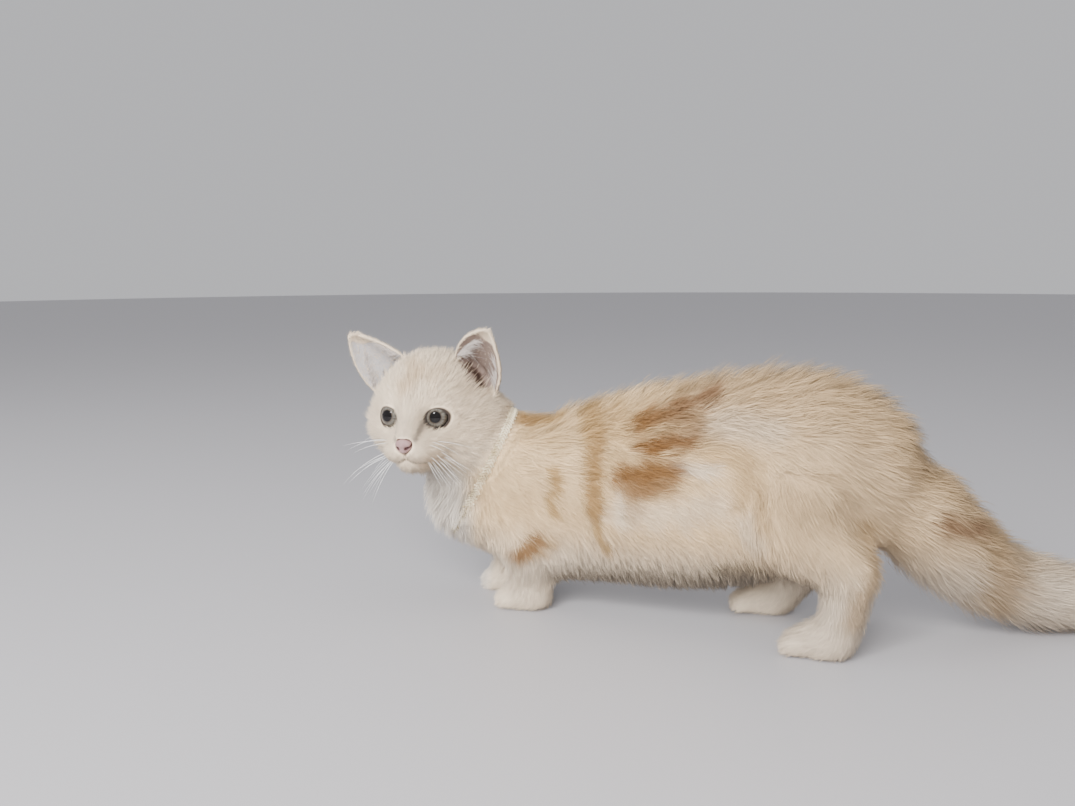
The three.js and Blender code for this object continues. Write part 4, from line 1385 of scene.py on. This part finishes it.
def buildHairs(name, shape, hairs):
    shape = hairShapes[shape]
    base, middle, tip, side, normal = (
        hairs[key] for key in ("base", "middle", "tip", "side", "normal")
    )
    width = hairs["width"][:, None]
    thick = width * tuftForm["thick"]
    rings = []
    for centre, wide in zip((base, middle), tuftForm["wide"]):
        half = side * width * wide / 2
        rings += [centre - half, centre + half, centre + normal * thick * wide]
    rings = rings[:len(shape["down"]) - 1]
    corners = np.stack(rings + [tip], axis=1)
    outwards = [-side, side, normal * 0] * 2
    outwards = outwards[:len(rings)] + [unit(tip - middle)]
    shading = unit(normal[:, None] + np.stack(outwards, axis=1) * tuftForm["roundness"])
    return makeCoat(name, shape, hairs, corners, shading)


# The places of a hair's points on its patch of the map run across it and down it
def makeCoat(name, shape, hairs, corners, shading):
    across, down = np.array(shape["across"]) - 0.5, np.array(shape["down"]) - 0.5
    count, points = corners.shape[:2]
    mesh = bpy.data.meshes.new(name)
    mesh.vertices.add(count * points)
    mesh.vertices.foreach_set("co", corners.ravel())
    faces = np.array(shape["faces"])[None]
    index = (faces + (np.arange(count) * points)[:, None, None]).reshape(-1)
    mesh.loops.add(len(index))
    mesh.loops.foreach_set("vertex_index", index)
    mesh.polygons.add(len(index) // 3)
    mesh.polygons.foreach_set("loop_start", np.arange(0, len(index), 3))
    smooth(mesh)
    patch = np.column_stack((across, down)) * tuftForm["patch"]
    uv = hairs["uv"][:, None, :] + patch[None]
    layer = mesh.uv_layers.new(name="OFBake")
    layer.data.foreach_set("uv", uv.reshape(-1, 2)[index].ravel())
    paint(mesh, "marks", np.repeat(hairs["marks"], points, axis=0))
    tones = hairs["tone"][:, None] * (1 + tuftForm["tipTone"] * down)[None]
    paint(mesh, "tone", np.repeat(tones.reshape(-1, 1), 4, axis=1))
    mesh.update(calc_edges=True)
    mesh.normals_split_custom_set_from_vertices(shading.reshape(-1, 3).astype(np.float32))
    mesh.materials.append(coatLook)
    return place(name, mesh)


shadeForm = {
    "facing": (-0.35, -0.85),
    "below": (64, 44),
    "before": (102, 80),
    "behind": (-150, -110),
    "above": (10, 22),
    "groin": [(-62, 34, 40), (-86, 36, 46), (-104, 36, 34), (-104, 26, 30)],
    "groinReach": 16,
    "groinEdge": (1.2, 0.5),
    "lightHairs": 0.16,
    "light": 0.15,
    "dark": 0.70,
    "chin": 0.28,
    "chinBelow": (-27, -33),
    "chinWithin": (70, 58),
    "chinAhead": (-10, 6),
}


# Painted shade: hairs under the belly, in the groin and under the chin are darker, and a few light
# hairs between them take less of it
def shadeAt(points, facing, rng):
    forward, _, height = toStance(points).T
    under = ramp(*shadeForm["facing"], facing[:, 2]) * ramp(*shadeForm["below"], height)
    under = under * ramp(*shadeForm["before"], forward)
    under = under * ramp(*shadeForm["behind"], forward) * ramp(*shadeForm["above"], height)
    groin = courseDistance(toStance(points), shadeForm["groin"]) / shadeForm["groinReach"]
    under = np.maximum(under, ramp(*shadeForm["groinEdge"], groin))
    light = rng.random(len(under)) < shadeForm["lightHairs"]
    shade = 1 - under * np.where(light, shadeForm["light"], shadeForm["dark"])
    spots = toHead(points)
    chin = ramp(*shadeForm["chinBelow"], spots[:, 2])
    chin = chin * ramp(*shadeForm["chinWithin"], farFrom(spots))
    chin = chin * ramp(*shadeForm["chinAhead"], spots[:, 0])
    return shade * (1 - shadeForm["chin"] * chin)


# The colour of a hair is that of the place where it shows
hairs["guard"] = rng.random(len(clump)) < tuftForm["guards"]
ahead, rise = tuftForm["seen"]
towardsTip = hairs["lie"] * ahead + hairs["normal"] * rise
seen = hairs["root"] + towardsTip * hairs["plan"][:, lengthAt][:, None] * mm
hairs["marks"] = marksAndShadeAt(seen)
hairs.update(shapeHairs(hairs, heads, clump, rng))
clumpTone = rng.normal(1.0, tuftForm["clumpTone"], len(heads))
tone = clumpTone[clump] + rng.normal(0, tuftForm["hairTone"], len(clump))
tone = np.clip(tone, *tuftForm["tones"])
# The tone is a random tone per clump and hair, times the painted shade
hairs["tone"] = tone * shadeAt(hairs["root"], hairs["normal"], rng)

coatParts = {
    "head": ["head", "ear_left", "ear_right"],
    "neck": ["neck"],
    "torso": ["torso", "thigh_left", "thigh_right"],
    "forelegs": ["foreleg_left", "foreleg_right", "forepaw_left", "forepaw_right"],
    "hindlegs": ["hindleg_left", "hindleg_right", "hindpaw_left", "hindpaw_right"],
    "tail": ["tail_1", "tail_2", "tail_3"],
}
coats = []
for part, nodes in coatParts.items():
    belongs = np.isin(hairs["owner"], [fleshNodes.index(node) for node in nodes])
    for layer, shape, isGuard in (("coat", "short", False), ("guard", "long", True)):
        members = np.flatnonzero(belongs & (hairs["guard"] == isGuard))
        members = members[np.argsort(hairs["root"][members, 0])]
        triangles = len(members) * len(hairShapes[shape]["faces"])
        pieces = math.ceil(triangles / tuftForm["pieceTriangles"])
        for number, chosen in enumerate(np.array_split(members, pieces)):
            name = f"{layer}_{part}" + (f"_{number + 1}" if pieces > 1 else "")
            coats.append(buildHairs(name, shape, keepHairs(hairs, chosen)))
            print(name, len(chosen))

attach(skin, "root")
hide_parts(*fleshNodes)
for coat in coats:
    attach(coat, "root")


# Eyes

eyeLook = {
    "cornea": 1.0,
    "corneaFrom": (0.55, 1.0),
    "gaze": (0.966, 0.20, 0.15),
    "iris": 7.6,
    "pupil": 3.9,
    "segments": 64,
    "rings": 48,
}


irisColors = {
    "deep": (0.055, 0.05, 0.042),
    "light": (0.165, 0.155, 0.135),
    "warm": (0.13, 0.105, 0.08),
    "inner": (0.05, 0.038, 0.028),
    "ring": (0.014, 0.012, 0.01),
    "pupil": (0.003, 0.002, 0.002),
    "white": (0.05, 0.04, 0.035),
}


def eyeFinish():
    finish = Finish(
        "eye", Roughness=0.2, Specular_IOR_Level=0.1, Coat_Weight=0.7, Coat_Roughness=0.02,
    )
    spot = finish.attribute("gazePlace", 1)
    flat = finish.node("ShaderNodeVectorMath", {"operation": "MULTIPLY"}, {0: spot, 1: (1, 1, 0)})
    reach = finish.node("ShaderNodeVectorMath", {"operation": "LENGTH"}, {0: flat}, 1)
    rays = finish.node("ShaderNodeVectorMath", {"operation": "NORMALIZE"}, {0: flat})
    streaks = finish.noise(9, 3, 0.6, rays)
    flecks = finish.noise(2.2, 3, 0.55, spot)
    iris = finish.mix(streaks.between(0.35, 0.65), irisColors["deep"], irisColors["light"])
    iris = finish.mix(flecks.between(0.4, 0.7) * 0.5, iris, irisColors["warm"])
    pupil, edge = eyeLook["pupil"], eyeLook["iris"]
    iris = finish.mix(reach.between(pupil + 1.2, pupil + 0.1) * 0.75, iris, irisColors["inner"])
    iris = finish.mix(reach.between(edge - 2.2, edge - 0.3), iris, irisColors["ring"])
    iris = finish.mix(reach.between(pupil + 0.25, pupil - 0.35), iris, irisColors["pupil"])
    iris = finish.mix(reach.between(edge + 0.1, edge + 0.9), iris, irisColors["white"])
    finish.set("Base Color", iris)
    return finish.material


eyeMaterial = eyeFinish()


def addEye(name, side):
    form = bmesh.new()
    around, rings = eyeLook["segments"], eyeLook["rings"]
    bmesh.ops.create_uvsphere(form, u_segments=around, v_segments=rings, radius=eyeForm["radius"])
    mesh = closeForm(form, bpy.data.meshes.new(f"eyeball_{name}"))
    local = pointsOf(mesh)
    ahead, across, up = eyeLook["gaze"]
    gaze = Vector((ahead, across * side, up)).normalized()
    turn = np.array(gaze.to_track_quat("Z", "Y").to_matrix())
    bulge = ramp(*eyeLook["corneaFrom"], local[:, 2] / eyeForm["radius"])[:, None]
    local = local + unit(local) * bulge * eyeLook["cornea"]
    placeLayer = mesh.attributes.new("gazePlace", "FLOAT_VECTOR", "POINT")
    placeLayer.data.foreach_set("vector", local.ravel())
    centre = eyeCentre(side)
    setPoints(mesh, fromHead(local @ turn.T + centre))
    smooth(mesh)
    mesh.materials.append(eyeMaterial)
    eye = place(f"eyeball_{name}", mesh)
    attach(eye, "root")
    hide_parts(f"eye_{name}")


for name, side in sides.items():
    addEye(name, side)
print("eyes set")

# Nose

noseForm = {
    "voxel": 0.0004,
    "smoothing": 6,
    "slit": [(42.4, 2.3, -18.2), (41.4, 4.6, -17.0), (39.0, 6.2, -15.4)],
    "slitReach": (1.35, 0.54),
    "slitDepth": 0.5,
    "colors": ((0.26, 0.15, 0.15), (0.36, 0.23, 0.225)),
    "slitColor": (0.06, 0.025, 0.025),
}


def noseFinish():
    finish = Finish("nose leather", Roughness=0.42)
    dark = finish.attribute("slit", 2)
    pebbles = finish.node("ShaderNodeTexVoronoi", {}, {"Vector": finish.where(), "Scale": 2200.0})
    tint = finish.noise(160, 2)
    color = finish.mix(tint.between(0.3, 0.7), *noseForm["colors"])
    # Painted shade in the nostril slits
    color = finish.mix(dark, color, noseForm["slitColor"])
    finish.set("Base Color", color)
    finish.bump(pebbles, 0.0002, 0.5)
    return finish.material


def addNose():
    form = openForm(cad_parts["nose"].data)
    bmesh.ops.remove_doubles(form, verts=form.verts, dist=skinForm["weld"])
    nose = place("nose_leather", closeForm(form, bpy.data.meshes.new("nose_leather")))
    mesh = remesh(nose, noseForm["voxel"])
    points = Net(mesh).spread(pointsOf(mesh), noseForm["smoothing"])
    setPoints(mesh, points)
    spots = toHead(points)
    # The nostril slits are sunk a little and darkened with painted shade
    away = courseDistance(toLeft(spots, spots), noseForm["slit"])
    dark = ramp(*noseForm["slitReach"], away)
    setPoints(mesh, points - normalsOf(mesh) * dark[:, None] * noseForm["slitDepth"] * mm)
    slit = mesh.attributes.new("slit", "FLOAT", "POINT")
    slit.data.foreach_set("value", dark)
    smooth(mesh)
    mesh.materials.append(noseFinish())
    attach(nose, "root")
    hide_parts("nose")


addNose()
print("nose set")

# Whiskers and long hairs of the ears

whiskerForm = {
    "seed": 7,
    "rows": 4,
    "columns": 5,
    "pad": (30.0, 11.5, -19.5),
    "padStep": (-3.2, 1.0, 0.6),
    "rowDrop": 2.6,
    "way": (0.5, 0.75, 0.02),
    "wayStep": (-0.17, 0.04, 0),
    "rowTurn": -0.3,
    "wayAstray": 0.06,
    "bend": (-0.25, 0.05, -0.3),
    "bendAstray": 0.08,
    "length": (20, 38),
    "lengthArc": 1.5,
    "lengthShares": (0.75, 1.05),
    "nearShare": 0.62,
    "radius": 0.15,
    "color": (0.90, 0.90, 0.89),
    "roughness": 0.35,
}
browForm = {
    "count": 3,
    "at": (17, 13.5, 10.5),
    "step": (-1, 2.5, 0.4),
    "way": (0.5, 0.25, 0.8),
    "wayStep": (0, 0.2, 0),
    "bend": (-0.3, 0.1, -0.1),
    "length": 17,
    "shorter": 3,
}
earHairForm = {
    "seed": 11,
    "count": 420,
    "inner": (-4.5, 21.5, 35.5),
    "outer": (-8, 44, 14),
    "fromInner": 0.72,
    "upTo": 0.6,
    "bunched": 1.2,
    "astray": 0.7,
    "across": (0.5, 0.3),
    "outwards": (4, 0, 4),
    "wayAstray": 5.0,
    "bend": -0.45,
    "bendAstray": 0.3,
    "length": (3.5, 11),
    "shorter": 0.5,
    "radius": 0.10,
    "color": (0.66, 0.60, 0.56),
    "roughness": 0.6,
}
sweepForm = {
    "segments": 9,
    "sides": 4,
    "taper": 0.85,
    "taperCurve": 1.5,
    "over": (0.3, 0.2, 1.0),
}


# Closed tapering hairs along paths: an array of (hairs, steps, 3) places
def sweepHairs(name, paths, radius):
    count, steps = paths.shape[:2]
    corner = sweepForm["sides"]
    ahead = unit(np.gradient(paths, axis=1))
    across = unit(np.cross(ahead, np.array(sweepForm["over"])))
    over = np.cross(ahead, across)
    angles = np.arange(corner) * 2 * math.pi / corner
    taper = 1 - sweepForm["taper"] * np.linspace(0, 1, steps) ** sweepForm["taperCurve"]
    size = radius * taper[None, :, None, None] * mm
    ring = across[:, :, None] * np.cos(angles)[:, None]
    ring = ring + over[:, :, None] * np.sin(angles)[:, None]
    corners = (paths[:, :, None] + ring * size).reshape(count, -1, 3)
    faces = []
    for step in range(steps - 1):
        for n in range(corner):
            a, b = step * corner + n, step * corner + (n + 1) % corner
            faces += [(a, b, b + corner), (a, b + corner, a + corner)]
    last = (steps - 1) * corner
    faces += [(0, n + 1, n) for n in range(1, corner - 1)]
    faces += [(last, last + n, last + n + 1) for n in range(1, corner - 1)]
    index = np.array(faces)[None] + (np.arange(count) * steps * corner)[:, None, None]
    mesh = bpy.data.meshes.new(name)
    mesh.from_pydata(corners.reshape(-1, 3), [], index.reshape(-1, 3).tolist())
    smooth(mesh)
    form = openForm(mesh)
    bmesh.ops.recalc_face_normals(form, faces=form.faces)
    return place(name, closeForm(form, mesh))


def hairPaths(starts, ways, bends, lengths):
    steps = np.linspace(0, 1, sweepForm["segments"])[None, :, None]
    reach = lengths[:, None, None] * steps
    return fromHead(starts[:, None] + ways[:, None] * reach + bends[:, None] * reach * steps)


skinTree = BVHTree.FromPolygons(
    [Vector(point) for point in pointsOf(skin.data)],
    [list(polygon.vertices) for polygon in skin.data.polygons],
)


def onSkin(spots):
    return toHead(np.array([skinTree.find_nearest(Vector(spot))[0] for spot in fromHead(spots)]))


def stepped(first, step, times):
    return np.array(first) + np.array(step) * times


# The start, the way and the bend of a hair, on its side of the head, and its length
def hairRow(side, start, way, bend, length):
    return *(np.multiply(value, (1, side, 1)) for value in (start, unit(way), bend)), length


def growHairs(name, rows, form, finish):
    starts, ways, bends, lengths = (np.array(values, float) for values in zip(*rows))
    hairs = sweepHairs(name, hairPaths(onSkin(starts), ways, bends, lengths), form["radius"])
    hairs.data.materials.append(plainFinish(finish, form["color"], form["roughness"]))
    return hairs


# Rows of whiskers on the pads, then long hairs over each eye
def addWhiskers():
    rows = []
    picks = np.random.default_rng(whiskerForm["seed"])
    for side in sides.values():
        for row in range(whiskerForm["rows"]):
            for column in range(whiskerForm["columns"] - row % 2):
                start = stepped(whiskerForm["pad"], whiskerForm["padStep"], column)
                start = start + (0, 0, -whiskerForm["rowDrop"] * row)
                way = stepped(whiskerForm["way"], whiskerForm["wayStep"], column)
                way[2] += whiskerForm["rowTurn"] * row
                way[2] += picks.normal(0, whiskerForm["wayAstray"])
                bend = np.array(whiskerForm["bend"])
                bend[2] += picks.normal(0, whiskerForm["bendAstray"])
                arc = whiskerForm["columns"] + whiskerForm["lengthArc"]
                length = mixed(*whiskerForm["length"], math.sin(math.pi * (column + 1) / arc))
                length *= picks.uniform(*whiskerForm["lengthShares"])
                length *= whiskerForm["nearShare"] if side > 0 else 1
                rows.append(hairRow(side, start, way, bend, length))
    for side in sides.values():
        for n in range(browForm["count"]):
            start = stepped(browForm["at"], browForm["step"], n)
            way = stepped(browForm["way"], browForm["wayStep"], n)
            length = browForm["length"] - browForm["shorter"] * n
            rows.append(hairRow(side, start, way, browForm["bend"], length))
    whiskers = growHairs("whiskers", rows, whiskerForm, "whisker")
    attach(whiskers, "root")


# Long hairs that lean over the hollow of each ear from its two edges
def addEarHairs():
    rows = []
    picks = np.random.default_rng(earHairForm["seed"])
    inner, outer = np.array(earHairForm["inner"]), np.array(earHairForm["outer"])
    tip = np.array(earForm["tip"])
    across, further = earHairForm["across"]
    for side in sides.values():
        for _ in range(earHairForm["count"]):
            share = picks.uniform(0, earHairForm["upTo"]) ** earHairForm["bunched"]
            fromInner = picks.random() < earHairForm["fromInner"]
            start = mixed(inner if fromInner else outer, tip, share)
            start = start + picks.normal(0, earHairForm["astray"], 3)
            towards = mixed(outer if fromInner else inner, tip, across + further * share)
            way = towards - start + np.array(earHairForm["outwards"])
            way = way + picks.normal(0, earHairForm["wayAstray"], 3)
            bend = (earHairForm["bend"], *picks.normal(0, earHairForm["bendAstray"], 2))
            length = picks.uniform(*earHairForm["length"]) * (1 - earHairForm["shorter"] * share)
            rows.append(hairRow(side, start, way, bend, length))
    hairs = growHairs("ear_hairs", rows, earHairForm, "ear hair")
    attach(hairs, "root")


addWhiskers()
addEarHairs()
print("whiskers and ear hairs set")

# Collar

# How far the plait runs from the band's middle, from the skin below it
def collarReach(around):
    centre, axes = collarFrame()
    ways = np.cos(around)[:, None] * axes[0] + np.sin(around)[:, None] * axes[1]
    reach = np.array([skinTree.ray_cast(Vector(centre), Vector(way))[3] for way in ways])
    for _ in range(collarForm["rounding"]):
        reach = (np.roll(reach, 1) + 2 * reach + np.roll(reach, -1)) / 4
    return centre, axes, ways, reach + collarForm["above"] * mm


# Closed threads round the band, a mesh from one curve
def collarCurve(name, offsets, depth):
    curve = bpy.data.curves.new(name, "CURVE")
    curve.dimensions = "3D"
    curve.bevel_depth = depth * mm
    curve.bevel_resolution = 2
    for around, wide, out in offsets:
        centre, axes, ways, reach = collarReach(around)
        spline = curve.splines.new("POLY")
        spline.points.add(len(around) - 1)
        spline.use_cyclic_u = True
        places = centre + ways * (reach + out * mm)[:, None] + wide[:, None] * axes[2] * mm
        spline.points.foreach_set("co", np.column_stack((places, np.ones(len(places)))).ravel())
    piece = place(name, curve)
    graph = bpy.context.evaluated_depsgraph_get()
    mesh = bpy.data.meshes.new_from_object(piece.evaluated_get(graph))
    bpy.data.objects.remove(piece)
    return mesh


def collarFinish():
    finish = Finish("collar thread", Roughness=0.55)
    twist = finish.noise(1400, 2)
    worn = finish.noise(90, 2).between(0.35, 0.65)
    color = finish.mix(worn, collarForm["dull"], collarForm["light"])
    finish.set("Base Color", color)
    finish.bump(twist, 0.0003, 0.6)
    return finish.material


def addCollar():
    count = collarForm["plaits"] * collarForm["steps"]
    around = np.arange(count) * 2 * math.pi / count
    strands = []
    for n in range(collarForm["strands"]):
        phase = around * collarForm["plaits"] + n * 2 * math.pi / collarForm["strands"]
        wide, out = collarForm["sway"] * np.sin(phase), collarForm["weave"] * np.sin(2 * phase)
        strands.append((around, wide, out))
    mesh = collarCurve("collar_plait", strands, collarForm["radius"])
    form = openForm(mesh)
    beads = collarForm["beads"]
    centre, axes, ways, reach = collarReach((np.arange(beads) + 0.5) * 2 * math.pi / beads)
    aside = axes[2] * (collarForm["sway"] + collarForm["beadOut"]) * mm
    size = collarForm["bead"] * mm
    for way, distance in zip(ways, reach):
        for edge in (-1, 1):
            spot = Matrix.Translation(Vector(centre + way * distance + edge * aside))
            bmesh.ops.create_icosphere(form, subdivisions=2, radius=size, matrix=spot)
    closeForm(form, mesh)
    smooth(mesh)
    mesh.materials.clear()
    mesh.materials.append(collarFinish())
    collar = place("collar_plait", mesh)
    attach(collar, "root")
    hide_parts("collar")


addCollar()
print("collar set")

# Camera, light and floor

cameraForm = {
    "at": (-209.25, 668.67, 236.41),
    "towards": (81.75, -15, 134.3),
    "roll": -0.33,
    "lens": 36.3,
    "sensor": 36,
}
# Where each light stands and what it faces, in metres, its size, power and colour, and whether it
# is seen in glints
lightForms = {
    "key": ((0.0, 1.5, 0.85), (0.04, 0, 0.08), 1.2, 62, (1.0, 0.985, 0.965), False),
    "front": ((0.4, 1.4, 1.05), (0.2, 0.04, 0.13), 0.32, 9, (1.0, 0.99, 0.97), True),
    "fill": ((1.3, 0.9, 0.6), (0.05, 0, 0.08), 1.6, 10, (0.95, 0.97, 1.0), False),
    "top": ((0.0, -0.1, 1.8), (0.0, 0, 0.08), 1.6, 4, (1, 1, 1), False),
}
studioForm = {
    "floorRadius": 6,
    "floor": (0.46, 0.45, 0.47),
    "floorRoughness": 0.45,
    "sky": (0.80, 0.80, 0.83, 1),
    "skyStrength": 0.75,
}


def aimed(at, towards):
    at, towards = Vector(at), Vector(towards)
    turn = (towards - at).to_track_quat("-Z", "Y").to_matrix().to_4x4()
    return Matrix.Translation(at) @ turn


def addCamera():
    data = bpy.data.cameras.new("camera")
    data.lens = cameraForm["lens"]
    data.sensor_width = cameraForm["sensor"]
    camera = place("camera", data)
    roll = Matrix.Rotation(math.radians(cameraForm["roll"]), 4, "Z")
    spots = fromStance((cameraForm["at"], cameraForm["towards"]))
    camera.matrix_world = aimed(*spots) @ roll
    bpy.context.scene.camera = camera


def addLight(name, at, towards, size, power, color, glints):
    data = bpy.data.lights.new(name, "AREA")
    data.shape = "DISK"
    data.size = size
    data.energy = power
    data.color = color
    light = place(name, data)
    light.visible_glossy = glints
    light.matrix_world = aimed(at, towards)


def addWorld():
    world = bpy.data.worlds.new("studio")
    world.use_nodes = True
    sky = world.node_tree.nodes["Background"].inputs
    sky["Color"].default_value = studioForm["sky"]
    sky["Strength"].default_value = studioForm["skyStrength"]
    bpy.context.scene.world = world


def addFloor():
    form = bmesh.new()
    bmesh.ops.create_circle(form, cap_ends=True, segments=64, radius=studioForm["floorRadius"])
    floor = place("floor", closeForm(form, bpy.data.meshes.new("floor")))
    finish = plainFinish("floor paint", studioForm["floor"], studioForm["floorRoughness"])
    floor.data.materials.append(finish)


addCamera()
for name, settings in lightForms.items():
    addLight(name, *settings)
addWorld()
addFloor()

print("coat triangles", sum(len(coat.data.polygons) for coat in coats))
print("skin faces", len(skin.data.polygons))
